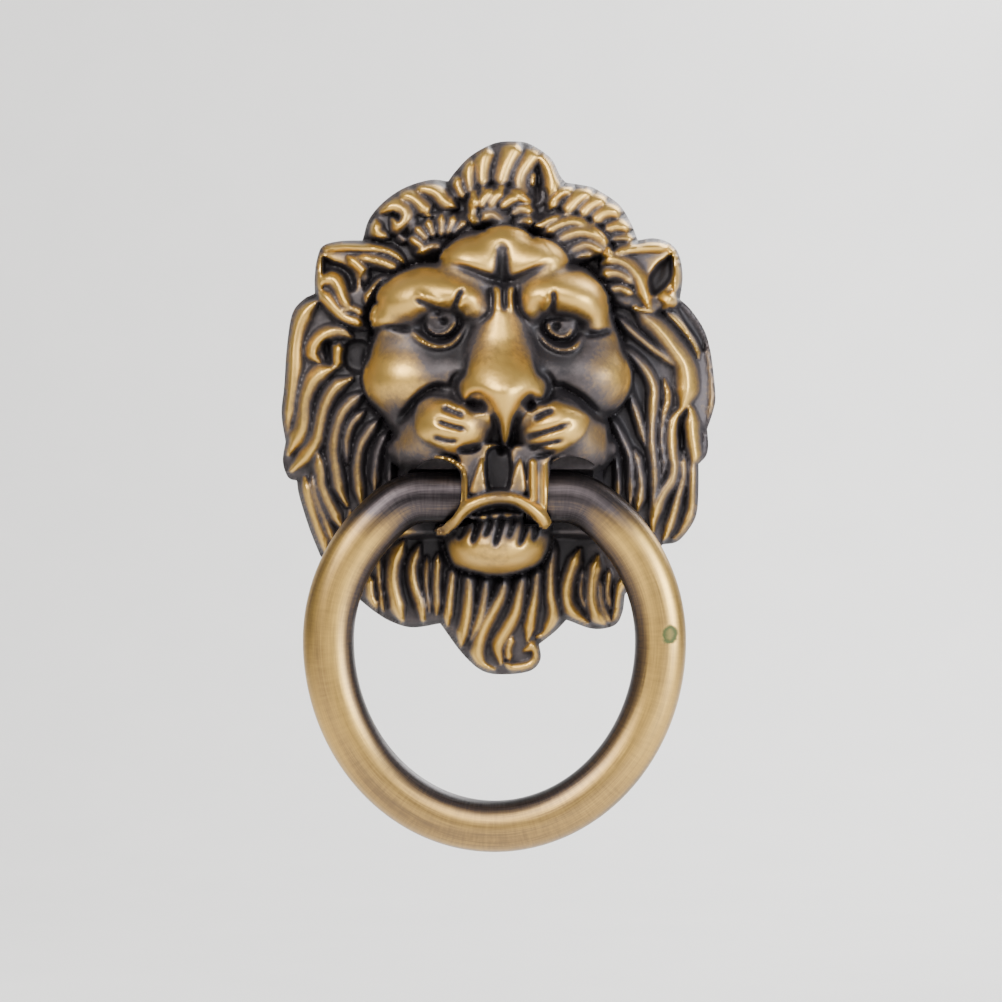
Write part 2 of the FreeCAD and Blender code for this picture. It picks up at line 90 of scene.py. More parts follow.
# Locks of hair: half width, then points from root to tip.
LOCKS = [
    # top tuft
    (.7, (-6.6, 34.7), (-6.2, 33), (-5.3, 31.3)),
    (.83, (-4.6, 37.3), (-4.6, 34), (-4.1, 31.6)),
    (1.02, (-2.0, 39.1), (-2.6, 36), (-2.6, 32.8)),
    (1.15, (2.6, 39.8), (1.2, 37), (.3, 34.5), (.2, 32.8)),
    (1.02, (5.9, 39.0), (4.1, 36.8), (3.1, 35), (2.9, 33.3), (3.5, 31.8), (4.6, 31)),
    (1.02, (6.0, 38.8), (7.3, 36.6), (7.9, 34.6), (8.0, 33), (7.4, 31.6)),
    (.51, (5.1, 35.2), (4.9, 33.2)),
    # small tuft over the forehead
    (.77, (-3.7, 31.8), (-4.2, 29), (-3, 27.3)),
    (.7, (-1.3, 32.8), (-2.6, 31), (-2.8, 29.6)),
    (.7, (.3, 32.6), (-.9, 31.3), (-1.6, 29.7)),
    (.7, (2.7, 31.8), (1.2, 30.9), (.0, 29.6)),
    (.7, (5.0, 29.6), (3, 29.6), (1.5, 28.9)),
    (1.09, (-2.7, 28.1), (-1.4, 29), (.1, 28), (1.2, 26.9)),
    (.7, (5.0, 27.9), (3.4, 28.0), (2.2, 27.3)),
    # left second row, a fan
    (.64, (-13.9, 25.5), (-12.4, 24.7), (-11.4, 24.0)),
    (.64, (-12.8, 27.1), (-11.6, 25.9), (-10.9, 25.0)),
    (.64, (-10.9, 28.2), (-10.4, 26.7), (-10.0, 25.5)),
    (.64, (-8.8, 28.8), (-8.8, 27.1), (-8.9, 25.6)),
    (.64, (-6.9, 28.8), (-7.4, 27.3), (-7.9, 25.8)),
    (.64, (-5.1, 28.1), (-6.1, 26.9), (-7.1, 25.6)),
    (.58, (-3.9, 26.8), (-5.2, 26.2), (-6.4, 25.4)),
    (.7, (-12.4, 23.2), (-10, 24.2), (-8.2, 23.5)),
    # left upper tuft
    (.96, (-12.9, 33.6), (-9.9, 32.5), (-8.3, 30.9), (-6.6, 30.0)),
    (1.02, (-15.2, 32.4), (-13.2, 31.5), (-11.8, 30.3), (-10.7, 28.8)),
    (1.15, (-17.9, 29.6), (-16.3, 30.4), (-14.5, 29.7), (-14.2, 28.2), (-15.3, 27.3), (-16.2, 28.2)),
    (.77, (-18.8, 28.0), (-18.4, 26.1), (-16.8, 25.4)),
    (.64, (-15.5, 26.0), (-14.0, 24.9)),
    # left ear and the hair round it
    (.6, (-27.2, 23.9), (-24, 24.3), (-20, 24.1), (-17, 23.8), (-15.3, 22.8), (-14.2, 21.4)),
    (.6, (-21.5, 22.6), (-18.5, 22.1), (-16.5, 21.3), (-15.2, 20.2)),
    (.6, (-22.9, 22.6), (-21.3, 21.3), (-20.4, 20.1), (-20.2, 18.6)),
    (.5, (-16.2, 19.6), (-18.3, 18.7), (-19.8, 16.8), (-20.2, 15.4)),
    (.65, (-27.4, 23.6), (-27.5, 20.5), (-27.2, 17.4)),
    (.75, (-27.2, 19.0), (-25.3, 19.3), (-24.3, 18), (-23.5, 16), (-22.3, 14.6)),
    (.8, (-27.3, 17.3), (-26, 16.2), (-25, 14.8), (-23.8, 13.4), (-22, 12.7), (-19.7, 11.7)),
    # right upper fan
    (.83, (7.5, 29.8), (8.6, 31.8), (10.9, 33.2)),
    (.96, (9.7, 28.9), (11.3, 31), (13.8, 33.1)),
    (.96, (12.1, 28.5), (13.5, 30.3), (16.1, 31.8)),
    (.96, (14, 27.6), (15.5, 29.2), (18.6, 29.8)),
    (.83, (15.7, 26.5), (17.5, 27.2), (20.1, 27.1)),
    (.7, (16.6, 25), (18, 25.3), (20.5, 25.3)),
    # right second row
    (.77, (5.4, 27.2), (7.5, 28.4), (9.4, 29)),
    (.83, (6.7, 26.1), (8.5, 27.2), (10.5, 28), (12, 27.8), (13.8, 26.9)),
    (1.02, (8.2, 24.3), (10, 25.7), (12, 26.3), (14, 26), (15.5, 24.9), (16.3, 23.3)),
    (.9, (9.5, 22.7), (11.3, 23.8), (13, 24.4), (14.6, 23.8), (16, 22.7)),
    (.58, (10.1, 21.8), (12.5, 22.8), (14.2, 22.8)),
    # right ear and the hair round it
    (.7, (16.9, 23), (20, 23.9), (23, 24.2), (25.6, 24.1)),
    (.65, (25.6, 24.3), (26.9, 22.5), (27.0, 20), (26.3, 17.6)),
    (.9, (15.3, 21.6), (17, 22.2), (19, 21.5), (20.6, 19.8), (21.5, 17.8), (22.4, 15.0)),
    (.8, (15.1, 19.7), (16.9, 20.2), (18.6, 19.8), (20.0, 18.5)),
    (.6, (16.2, 17.4), (18, 17.9), (20.1, 17.0)),
    (1.1, (25.9, 16.9), (25.0, 15.3)),
    # right mane
    (.45, (24.5, 14.9), (26.5, 13), (28.5, 10.8), (29.6, 9), (29.9, 7.2)),
    (1.2, (20.3, 14.7), (22.5, 13), (24.5, 11), (26, 9), (27.7, 6.5), (28.2, 3.7), (27.9, 1.2),
     (27.3, -.5)),
    (.8, (27.5, 0), (26.2, -2), (25.8, -4), (25.9, -7), (26.2, -9), (25.9, -11), (24.7, -12.7),
     (23.8, -14.5), (23.1, -17), (23, -18.6)),
    (.85, (28.3, .4), (28.8, -1), (28.9, -3.5), (29.3, -6.5), (29.6, -8.5), (29.4, -10), (29.3, -13),
     (29.2, -15.5), (28.5, -17.5), (27.2, -19.3), (26.2, -19.9)),
    (.55, (27.3, -6.5), (27.6, -9), (27.5, -11), (26.8, -13.5), (26, -16.5), (25.3, -18.5),
     (24.5, -20.4)),
    (.45, (31.3, 10.4), (31.6, 8), (32, 5), (32.2, 2.5), (32, 0), (31.2, -2.7)),
    (.4, (30.9, -3.6), (31.2, -5), (31.1, -6.6), (30.1, -8.2)),
    (.55, (17, 13.9), (19, 12.1), (21, 10.4), (23, 8.8), (25, 7.4), (26.7, 5.8)),
    (.75, (15.8, 10.9), (17.5, 9.3), (19.5, 7.9), (21.2, 6.4), (22.5, 4.5), (23.1, 2.5), (23, 0),
     (22.8, -4.7), (23.2, -9), (23.2, -13), (22.8, -17)),
    (.65, (18.8, 4.5), (19.8, 1), (20.5, -1), (21.3, -3.5), (21.9, -6)),
    (.65, (16.1, -1.0), (17.5, -3), (18.6, -5.3), (19.5, -7.5), (19.7, -11), (19.6, -14.5)),
    (.75, (20.3, -6.5), (20.9, -9.5), (21.2, -12), (20.7, -15.5)),
    (.5, (24.7, 4.2), (25.2, 1.4), (24.6, -1.5), (24.3, -5), (24.7, -8.5), (24.3, -11)),
    (.5, (15.9, -3.5), (17.2, -6.5), (17.7, -10), (17.7, -14)),
    (.5, (21.5, -17.0), (20.8, -20.5), (19.5, -24.5)),
    # left mane
    (1.15, (-27.6, 15.9), (-29.4, 14.3), (-30.6, 12), (-31.2, 9), (-31.3, 5.5), (-31.7, 1.5),
     (-32.1, -1.5), (-32.3, -4.4)),
    (.85, (-22.4, 10.6), (-24, 11.5), (-26.2, 11.1), (-28, 9.5), (-28.3, 8), (-27.1, 6.7)),
    (1.1, (-25.0, 5.9), (-27, 5), (-28.5, 3.5), (-29.5, 1), (-29.7, -1.5), (-30, -3.5),
     (-31, -5.3), (-31.9, -7)),
    (.8, (-24.2, 9.4), (-24.6, 7.6), (-24.4, 5.9)),
    (.95, (-22.3, 4.3), (-24.7, 3), (-26.2, .7), (-27, -2), (-27.5, -4.5), (-28.5, -6.5),
     (-29.8, -8), (-31.5, -9.6)),
    (.9, (-20.2, 2.3), (-22, 1), (-23.8, -1), (-24.8, -4), (-25, -7), (-24.5, -11), (-23.9, -13),
     (-23.0, -14.8)),
    (.65, (-20.4, -.6), (-22.3, -2.5), (-23.1, -5), (-23.0, -8.5)),
    (.75, (-18.2, -1.8), (-19.5, -3.5), (-21, -6), (-21.5, -9), (-21.3, -11.5), (-20.8, -14.8)),
    (.65, (-16.9, -3.8), (-17.9, -5.5), (-18.6, -8), (-18.9, -12.5)),
    (.55, (-15.9, -5.6), (-16.5, -8), (-16.6, -11.5)),
    (.8, (-27.5, -6.8), (-27, -10), (-26.8, -12), (-26, -14), (-25, -16), (-23.6, -18.4)),
    (.75, (-29.4, -10.7), (-29, -13), (-28.5, -15), (-27.7, -17.5), (-26.7, -20.2), (-26.2, -22)),
    (.55, (-28.3, -10.4), (-27.9, -13), (-27.0, -15.6), (-25.9, -18.2), (-25.0, -20.6)),
    (.5, (-22.6, -15.5), (-22.2, -19), (-21.0, -23)),
    (.5, (-20.4, -17.5), (-20.0, -21), (-19.4, -24)),
    (.5, (-24.2, 14.4), (-22.2, 14.8), (-20.3, 13.8)),
    # beard
    (.6, (-9.3, -22.2), (-9.6, -26.5), (-9.5, -31.2)),
    (.6, (-6.9, -23.7), (-7.4, -27), (-8.0, -33)),
    (.75, (-4.6, -24.2), (-4.7, -28), (-5, -31.5), (-6.0, -36.2)),
    (.65, (-2, -24.6), (-2.3, -28), (-3.0, -31.8), (-4.4, -35)),
    (.8, (.7, -24.6), (.3, -28), (-1.2, -31), (-2.7, -34), (-3.4, -37), (-2.8, -38.7), (-.9, -39.6)),
    (.8, (3.5, -24.2), (3, -27.5), (2.3, -31), (1, -33.5), (-.3, -36), (.2, -38.5)),
    (.7, (5.6, -23.6), (5.3, -28), (4.6, -32), (4.1, -35.2)),
    (.75, (8, -19.6), (7.6, -24), (7.6, -28), (8, -30.5), (7.7, -32.5), (6.8, -34.2), (5.6, -34.6)),
    (.7, (3.8, -36.6), (4.9, -36.1), (5.7, -37), (5.4, -38.4), (4.2, -39.2), (2.3, -39.4),
     (.9, -38.7)),
    (.5, (1.9, -34.6), (1.2, -36.5), (1.5, -38.2)),
    (.55, (-19.6, -25.6), (-19.4, -28.5), (-18.6, -30.7)),
    (.4, (-18.3, -22.5), (-18.2, -26), (-17.6, -30.9)),
    (.9, (-14.5, -20.2), (-15.8, -23), (-16.2, -26), (-15.7, -29), (-14.7, -32.3)),
    (.7, (-12.1, -20.7), (-13.2, -24), (-12.9, -27), (-12, -29.5), (-11.5, -32.3)),
    (.45, (-11.0, -22.5), (-11.1, -27), (-10.6, -31)),
    (.85, (11.9, -21.6), (10.8, -24.5), (10.1, -27), (10.2, -29.5), (11.3, -31.3), (13.2, -32.6)),
    (.85, (14.7, -22.6), (14, -26), (13.9, -29), (14.6, -31.3), (15.9, -33)),
    (.45, (15, -26), (15.3, -29.5), (16.1, -31.7), (16.8, -32.6)),
    (.55, (18.4, -25.8), (17.9, -28.5), (17.6, -31.2), (17.0, -32.6)),
    (.4, (12.5, -24.5), (12.2, -28), (12.9, -30.6)),
    (.4, (16.4, -24.5), (16.2, -28), (16.6, -30.4)),
]

# Raised patches of hair that lie over the rows behind them: lift, then the patch's edge.
TUFTS = [
    (.6, (-8, 34), (-5, 37.5), (0, 40), (6, 39.5), (9, 35), (9.6, 32), (5, 30), (-5, 30.2)),
    (1.0, (-20.4, 25.4), (-19.4, 28.8), (-16, 32.4), (-9.5, 33.8), (-6, 31), (-8, 28.6), (-12, 28.4),
     (-16, 25.6)),
    (1.1, (6.6, 29.7), (10, 33.3), (16.5, 31.7), (20.4, 26.8), (20, 24.5), (16, 24.6), (13, 27.6),
     (9, 29)),
    (1.9, (-5.1, 29), (-4.2, 32.4), (0, 33.4), (3.9, 32), (5.7, 28.8), (5, 26.6), (0, 25.8),
     (-3.4, 26.6)),
    (1.5, (-13.8, 27.2), (-10.5, 29.2), (-5, 29.2), (-3.5, 27), (-6, 25), (-8, 22.9), (-12.8, 22.6)),
    (1.9, (5, 27), (8, 29), (12, 28.7), (15.6, 26.4), (17, 23), (14, 22.2), (9.8, 21.4), (7, 25)),
    (2.3, (-27.9, 17.4), (-27.7, 24.4), (-20, 24.9), (-14.6, 22.8), (-14.7, 19.5), (-19.5, 15),
     (-21, 12), (-25, 13.6)),
    (2.3, (15.6, 23.4), (20.6, 24.9), (26, 24.6), (27.4, 20), (26.6, 15.4), (24, 14.4), (21.4, 14.2),
     (15.6, 16.6)),
]

# Sunk places: depth, softness, then the edge.
SINKS = [
    (2.1, 1.1, (-26.8, 22.6), (-25, 22), (-23.2, 21.3), (-21.9, 20), (-21.6, 18), (-22.6, 17.4),
     (-23.6, 19.6), (-25.2, 20.4), (-26.7, 20)),
    (1.3, .8, (-21.0, 19.6), (-19.4, 20.9), (-16.6, 20.2), (-18.3, 19.4), (-20.2, 17.4)),
    (2.2, 1.2, (25.9, 22.9), (26.1, 19.8), (24.6, 17.6), (22.7, 16.8), (22.2, 19), (23.4, 21.3),
     (24.8, 22.4)),
    (1.1, .9, (5.6, 36.4), (6.2, 34), (6.0, 31), (5.3, 31), (5.2, 34)),
    (1.2, .8, (27.0, -1.2), (27.6, -2), (27.8, -5), (27.4, -8.6), (26.9, -6), (26.6, -3)),
    (1.5, 1.0, (-26.8, 9.6), (-25.6, 10.1), (-25.1, 8.2), (-25.3, 6.4), (-26.2, 7)),
    (1.5, 1.0, (-23.2, 9.4), (-21.2, 10.2), (-19.6, 9.0), (-20.2, 5.2), (-22.6, 5.4), (-23.6, 7)),
    (.9, .7, (29.3, 9.4), (30.3, 8.4), (31.1, 9.0), (29.6, 12.6), (27.3, 15.2), (26.6, 15.0)),
]

# The groove between the face and the mane.
FACE_EDGE = [
    (-3, 26.7), (0.3, 26.4), (3, 26.3), (6.6, 24.7), (9, 21.9), (12.8, 20.9), (15.9, 17.6),
    (16.9, 13.6), (18.3, 9.6), (19.0, 5.5), (18.6, 1.5), (16.0, -1.6), (15.4, -5.4), (15.0, -9.5),
    (12.4, -13.6), (8.6, -16.6), (7.6, -20.6), (5.5, -24), (-.6, -25.2), (-6.5, -24.2), (-8.2, -21.2),
    (-9.2, -17.0), (-12.8, -13.6), (-14.8, -9.5), (-15.2, -5.8), (-17.2, -2.2), (-19.6, 1.5),
    (-20.0, 6.5), (-18.9, 11.2), (-18.6, 15.6), (-16.8, 19.2), (-12.6, 21.3), (-9.3, 21.8),
    (-7.8, 24.4), (-5.6, 26),
]

# Rounded masses of the face: centre x, z, foot height, half sizes x and z, rise.
FORMS = [
    (.6, 22.6, 10, 5.6, 4.8, 5.8), (-3.9, 21.4, 10, 5.4, 4.2, 6.6), (4.9, 21.4, 10, 5.6, 4.2, 6.6),
    (-12.8, 4.2, 7, 8.0, 6.6, 9.9), (12.4, 4.4, 7, 7.6, 6.8, 9.9), (-7.0, 5.0, 8, 6.6, 5.2, 9.0),
    (7.2, 5.0, 8, 6.4, 5.2, 9.0), (.4, 1.8, 12, 7.0, 5.6, 9.6), (-6.9, -2.8, 8, 7.4, 6.2, 12.0),
    (8.2, -2.9, 8, 7.2, 6.3, 12.0), (-10.6, -4.6, 6, 5.4, 6.4, 11.2), (11.8, -4.6, 6, 4.8, 6.6, 11.2),
    (-12.2, -6.0, 7, 4.2, 3.9, 8.4), (12.8, -6.0, 7, 4.0, 3.9, 8.4), (-.5, -20.9, 7, 7.6, 4.6, 10.6),
    (-.4, -18.2, 8, 6.4, 3.4, 8.6),
]

# Masses that run along a line: foot height, fullness (low is blunt), then x, z, half width, height.
BEAMS = [
    (12.5, .8, (.2, 17.0, 2.4, 16.2), (.2, 13.5, 4.2, 17.6), (.1, 9.5, 6.4, 19.2),
     (.2, 5.5, 8.0, 21.2), (.3, 3, 8.0, 22.4)),
    (14, .45, (.6, 2, 3.4, 22.4), (.8, -.5, 2.6, 21.4), (.8, -3, 1.7, 19.8), (.7, -5.4, 1.1, 17.8)),
    (10, .55, (-16.6, 13.6, 3.0, 14.6), (-14.8, 15.3, 4.3, 17.0), (-11.4, 16.7, 4.4, 18.3),
     (-8, 16.9, 4.0, 18.6), (-4.9, 16.2, 3.5, 18.2), (-4.0, 14.9, 2.8, 17.4)),
    (10, .55, (4.8, 14.9, 2.8, 17.4), (5.7, 16.6, 3.6, 18.4), (9.0, 17.0, 3.9, 18.6),
     (12.0, 15.9, 4.2, 18.0), (13.4, 14.2, 3.5, 16.6), (13.9, 13.0, 2.6, 14.8)),
    (8, .8, (-15.2, -6.4, 1.9, 11.0), (-13.6, -8.0, 1.9, 12.8), (-11.4, -7.7, 1.9, 14.6),
     (-9, -6.9, 1.8, 16.4)),
    (8, .8, (15.8, -6.2, 1.9, 11.0), (14.2, -7.8, 1.9, 12.8), (12.0, -7.2, 1.9, 14.6),
     (9.4, -6.5, 1.8, 16.4)),
]

# Eyes: centre x, z, half sizes of the socket, then the pupil.
EYES = [(-8.9, 12.3, 4.0, 2.7, -8.5, 13.0), (9.1, 11.7, 3.8, 2.7, 8.5, 12.2)]

# The two whisker pads: lift, roundness, then the edge.
WHISKER_PADS = [
    (1.2, 1.7, (-12.5, .6), (-10.5, 1.6), (-8.5, 1.5), (-5, .3), (-2.5, -.8), (-1.2, -1.7),
     (-1.2, -4), (-2.4, -6.3), (-4.5, -7.8), (-7, -7.2), (-10, -5.9), (-12.3, -4.4), (-13, -1.6)),
    (1.2, 1.7, (2.9, -2.2), (4.6, -.2), (7.5, 1.2), (9.5, .8), (12, -.2), (13.6, -1.8),
     (12.2, -4.8), (9, -7), (6, -8.5), (4, -8), (2.6, -6.3), (2.5, -4.2)),
]

# The nose, from the bridge round the wings to the lip.
NOSE = [
    (-6.4, 2.5), (-6.2, 3.7), (-5.2, 5.2), (-4.6, 8), (-3.6, 11), (.3, 12), (4, 11), (4.8, 8),
    (5.5, 5.4), (6.8, 4.1), (7.2, 2.6), (6.5, 1.2), (5.5, 1.4), (4.6, 1.9), (3.6, 1.2), (2.7, -.1),
    (2.1, -2), (1.5, -4.4), (.6, -5.6), (-.1, -4.4), (-.5, -2), (-1, -.1), (-1.7, 1.1), (-3.1, 2.1),
    (-4.3, 1.8), (-5, 1), (-5.9, 1.2),
]

# Creases: depth, half width, then the line.
CREASES = [
    # forehead and brows
    (1.3, .95, (.3, 25.2), (.3, 22.4), (.3, 19.6), (.3, 18.2)),
    (1.2, .65, (-8.6, 22.0), (-5, 20.7), (-1.5, 19.3), (.3, 18.6), (2.5, 19.2), (5.5, 20.7),
     (8.2, 22.1)),
    (1.0, .45, (.55, 19), (.6, 16.5), (.7, 14.2)),
    (.9, .4, (-1.6, 18.6), (-1.3, 16.2), (-1.5, 14.2), (-3.2, 12.6)),
    (.9, .4, (2.7, 18.4), (2.5, 16.4), (2.8, 14.6), (4.6, 12.4)),
    (1.0, .5, (-13.2, 16.4), (-11.4, 15.6), (-9.8, 14.8), (-8.4, 13.9)),
    (1.2, .45, (-5.4, 18.0), (-6.2, 16.8), (-6.7, 15.4), (-7.0, 14.2)),
    (1.2, .5, (7.9, 17.8), (8.1, 16.2), (7.8, 14.8), (7.6, 13.8)),
    # whisker marks
    (1.1, .45, (-9, .1), (-7, -.8), (-5.2, -1.4)), (1.1, .45, (-9.8, -2.0), (-7.5, -2.8), (-4.8, -3.5)),
    (1.0, .4, (-10.3, -4.3), (-8.5, -5), (-6, -5.2)),
    (1.0, .4, (-6.8, -6.4), (-4.5, -6.5), (-2.8, -5.8)), (1.1, .45, (8.3, -.4), (6.5, -1.1), (5, -2)),
    (1.1, .45, (10.8, -2.4), (8, -3.4), (5, -4.3), (3.8, -4.6)),
    (1.0, .4, (10, -4.9), (8, -5.3), (5.5, -5.9), (4.2, -6.2)),
    (.8, .35, (8.6, -6.4), (6.6, -7.3), (5.1, -7.4)),
    # under the cheeks
    (1.5, .6, (-15.4, -2.6), (-13.8, -.4), (-12.4, 1.3), (-10.8, 2.5), (-9.3, 3.0), (-7.2, 2.8)),
    (1.5, .6, (7.3, 2.9), (9, 3.0), (10.6, 2.3), (12.2, 1.3), (14.2, -.7), (15.3, -2.4)),
    # groove under the nose
    (1.8, .55, (-1.1, -.9), (-.4, -2.6), (.1, -5.6), (.4, -7.4)),
    (1.8, .55, (3.0, -.6), (2.2, -2.2), (1.7, -4.8), (1.3, -7.0)),
    # nostrils, then the wings of the nose
    (2.4, .8, (-4.4, 1.2), (-3.9, .3), (-2.8, .2), (-2.0, .6)),
    (2.4, .8, (5.2, .9), (4.4, .5), (3.7, -.2)),
    (.8, .5, (-5.2, 5.2), (-6.6, 4.6), (-7.1, 3.4), (-6.6, 1.5), (-5.6, .4)),
    (.8, .5, (5.8, 5.2), (7.2, 4.7), (7.9, 3.2), (7.3, 1.4), (6.3, .4)),
    # corners of the eyes
    (.9, .5, (-19.4, 11.0), (-17.6, 12.0), (-15.0, 11.8), (-13.2, 11.6)),
    (.9, .5, (12.8, 11.0), (14.8, 11.0), (17.0, 11.6)),
    # strands of the chin
    (.9, .36, (-5.4, -16.9), (-5.6, -18.6), (-6.4, -20.2)),
    (1.2, .42, (-3.5, -16.1), (-3.5, -18.2), (-4.3, -20.9)),
    (.9, .34, (-1.7, -15.8), (-1.6, -17.8), (-2.4, -19.6)),
    (1.2, .42, (.3, -15.7), (0, -18), (-.9, -21.3)),
    (.8, .34, (2.1, -15.9), (1.9, -17.8), (1.2, -19.9)),
    (1.2, .42, (3.9, -16.3), (3.7, -18.4), (2.8, -21.2)),
    (.9, .36, (5.6, -17.2), (5.4, -18.8), (4.9, -20.3)),
]

# Thin raised lines on the face: lift, half width, then the line.
BEADS = [
    # folds between and over the eyes
    (.9, .5, (-.6, 18.7), (-.5, 16.5), (-.8, 14.2)), (.9, .45, (1.8, 18.6), (1.6, 16.5), (1.8, 14.4)),
    (.8, .6, (-13.0, 17.2), (-11.2, 16.6), (-9.6, 15.9), (-8.2, 15.3)),
    (.7, .45, (-6.1, 15.9), (-5.7, 14.6), (-4.7, 13.4)),
    (1.0, .5, (7.2, 17.0), (7.0, 15.6), (6.4, 14.1)),
    # left eyelids
    (1.7, .5, (-13.4, 11.6), (-12.5, 10.6), (-10.8, 9.5), (-9, 9.1), (-7.2, 9.6), (-6.0, 11.0),
     (-5.0, 12.8)),
    (1.1, .36, (-11.4, 12.9), (-10.7, 11.6), (-9.4, 10.9), (-7.9, 11.3), (-6.8, 12.6), (-6.5, 13.6)),
    # right eyelids
    (1.7, .5, (5.7, 12.2), (6.5, 10.2), (8.0, 9.0), (9.8, 8.6), (11.4, 9.2), (12.5, 11.0)),
    (1.1, .36, (6.9, 13.2), (7.5, 11.5), (8.8, 10.6), (10.2, 10.8), (11.1, 12.2)),
]

# The lower lip: x, z, half width, height.
LIP_LINE = [
    (-8.9, -18.6, .9, 12.5), (-7.9, -18.0, .95, 14.6), (-6.6, -16.8, 1.0, 18.2),
    (-5.2, -15.2, 1.2, 19.8), (-3, -14.1, 1.25, 20.2), (-.4, -13.6, 1.25, 20.3),
    (2.2, -13.8, 1.25, 20.2), (4.4, -14.9, 1.25, 20.0), (6.2, -16.5, 1.2, 19.2),
    (6.7, -17.2, 1.1, 18.6),
]
# The wall between the ring's two holes.
JAW_FACE = [
    (-6.1, -6.0), (0, -5.4), (7.4, -6.4), (7.4, -9), (7.2, -16), (4, -16.5), (-6, -16.6), (-5.9, -10),
]
# Edges of the jaw beside the ring's ends: x, z, half width, height.
JAW_EDGES = [
    [(-9.6, -7.5, .45, 17.0), (-7.6, -7.9, .45, 17.8), (-6.0, -9.0, .45, 18.6),
     (-5.3, -10.6, .45, 18.8), (-5.2, -14.5, .45, 18.8)],
    [(8.0, -8.1, .35, 16.8), (10.4, -7.3, .35, 16.2), (12.9, -7.9, .3, 14.8)],
    [(4.9, -8.4, 1.0, 19.0), (4.95, -13.8, 1.0, 19.2)],
    [(6.8, -8.6, .4, 18.0), (6.9, -14.6, .4, 18.0)],
]
MOUTH_GAP = [(-1.9, -6.5), (1.4, -6.5), (1.4, -12.2), (-1.9, -12.2)]
UNDER_LIP = [(-8.6, -18.7), (-5, -16.6), (-.5, -15.3), (3.5, -15.9), (7.3, -18.4)]
FANGS = [((-2.7, -7.6), (-4.6, -12.8), (-1.9, -12.8)), ((3.1, -7.6), (1.0, -12.8), (4.0, -12.8))]
# The two holes that the ring's ends go into.
HOLES = [
    [(-12.3, -9.5), (-11.4, -8.5), (-9.5, -8.0), (-7.6, -8.4), (-6.3, -9.5), (-5.7, -10.7),
     (-5.6, -13.9), (-6.3, -15.7), (-7.5, -17.0), (-9.4, -17.8), (-13, -17.8), (-14.2, -16),
     (-14.2, -12.4), (-13.4, -10.6)],
    [(7.3, -9.6), (8.3, -8.1), (10.4, -7.6), (13.0, -8.3), (14.4, -9.6), (14.9, -11.2), (14.4, -13),
     (14.4, -17), (13, -17.8), (9.4, -17.8), (7.9, -17.0), (7.3, -15.6)],
]

# Where the brass is rubbed brighter, or is painted darker as shade (under the eyes, brows, lip, muzzle and
# ring): x, z, radius, amount.
WEAR_AND_SHADE_SPOTS = [
    (-3, 23, 4.5, .25), (4.5, 23, 4.5, .22), (-10, 18, 6, .2), (8, 18.5, 6, .2), (.3, 7, 4.5, .3),
    (.3, 2, 4, .25), (-14.5, 5, 4, .25), (-7, -3.5, 5, .25), (7.5, -3.5, 5, .22), (-1, -22.6, 4.5, -.3),
    (-31, 8, 5, .3), (-30.5, -6, 4, .25), (28.5, 2, 4, .25), (0, -33, 7, .2), (13, 30, 6, .2),
    (0, 36, 6, .15), (13.5, 4, 5.5, -.3), (-13.5, -9, 5, -.35), (13, -8, 5, -.35), (-20, -8, 7, -.2),
    (20, -9, 6, -.2), (-9, 9, 4.5, -.25), (9.5, 8.5, 4.5, -.25), (-17, 28, 4, -.15),
    (0, -10.2, 3.0, -.9), (.2, 11.8, 3.4, .35), (-.5, -14, 4, -.15), (-22, 7, 4, -.25),
    (.3, 22.2, 1.1, -.35), (.3, 19.8, 1.3, -.45), (-.4, -17.2, 3.2, -.35), (-8.6, -18.2, 1.6, -.4),
    (-16.4, .2, 3.2, -.3), (15.8, .2, 3.2, -.3), (-14, -8.4, 2.6, -.35), (14.4, -8.2, 2.6, -.35),
    (-11.5, -19.2, 2.6, -.5), (12, -19.2, 2.6, -.5), (5, -11, 1.6, .45), (-9, 7.8, 3, -.2),
    (9.3, 7.6, 3, -.2),
]


# The carving's heights and widths, in millimetres.
SHEET = (-34.5, 34.5, -42.0, 41.6)  # left, right, bottom and top of the carved sheet
WHOLE_SHEET = 99  # farther than any two points of the sheet are apart in x or z
NO_METAL = -20  # a height that never shows when forms are joined
DOME_HALF = (36, 46)  # the mane's dome, half width and half height
LOCK_REACH = 2.6  # how far from its middle line a lock is measured
MIDDLING_LOCK = 0.7  # half width of a lock of middling height
TUFT_ROUND = 1.6
FACE_GROOVE = (0.9, 0.7)  # depth and width
FACE_FOOT, FACE_RISE, FACE_ROUND = 7.8, 7.2, 9.0
FACE_JOIN = 1.6  # rounding where the masses of the face meet
SOCKET_DEPTH = 2.4
BALL_SHIFT, BALL_HALF, BALL_RISE = (.1, .5), (2.5, 2.2), 2.0
UPPER_LID = 1.5  # the lid's edge over the pupil
PUPIL_HALF, PUPIL_DEPTH = (.6, .55), 1.0
NOSE_LIFT, NOSE_ROUND = 1.7, 1.5
NOSE_TOP, NOSE_FADE = 10.6, 6.6  # where the nose begins to rise, and over what height
JAW_FLOOR, JAW_ROUND, JAW_FOOT, LIP_FOOT = 17.5, .6, 14, 14.5
GAP_DEPTH, GAP_ROUND = 2.2, .5
FANG_LIFT, FANG_ROUND = 1.3, .9
CREASE_SHADE = 0.42  # painted shade: how much darker a crease is painted than its depth alone makes it
EDGE_ROUND, LEAST_HEIGHT = 1.15, 1.2
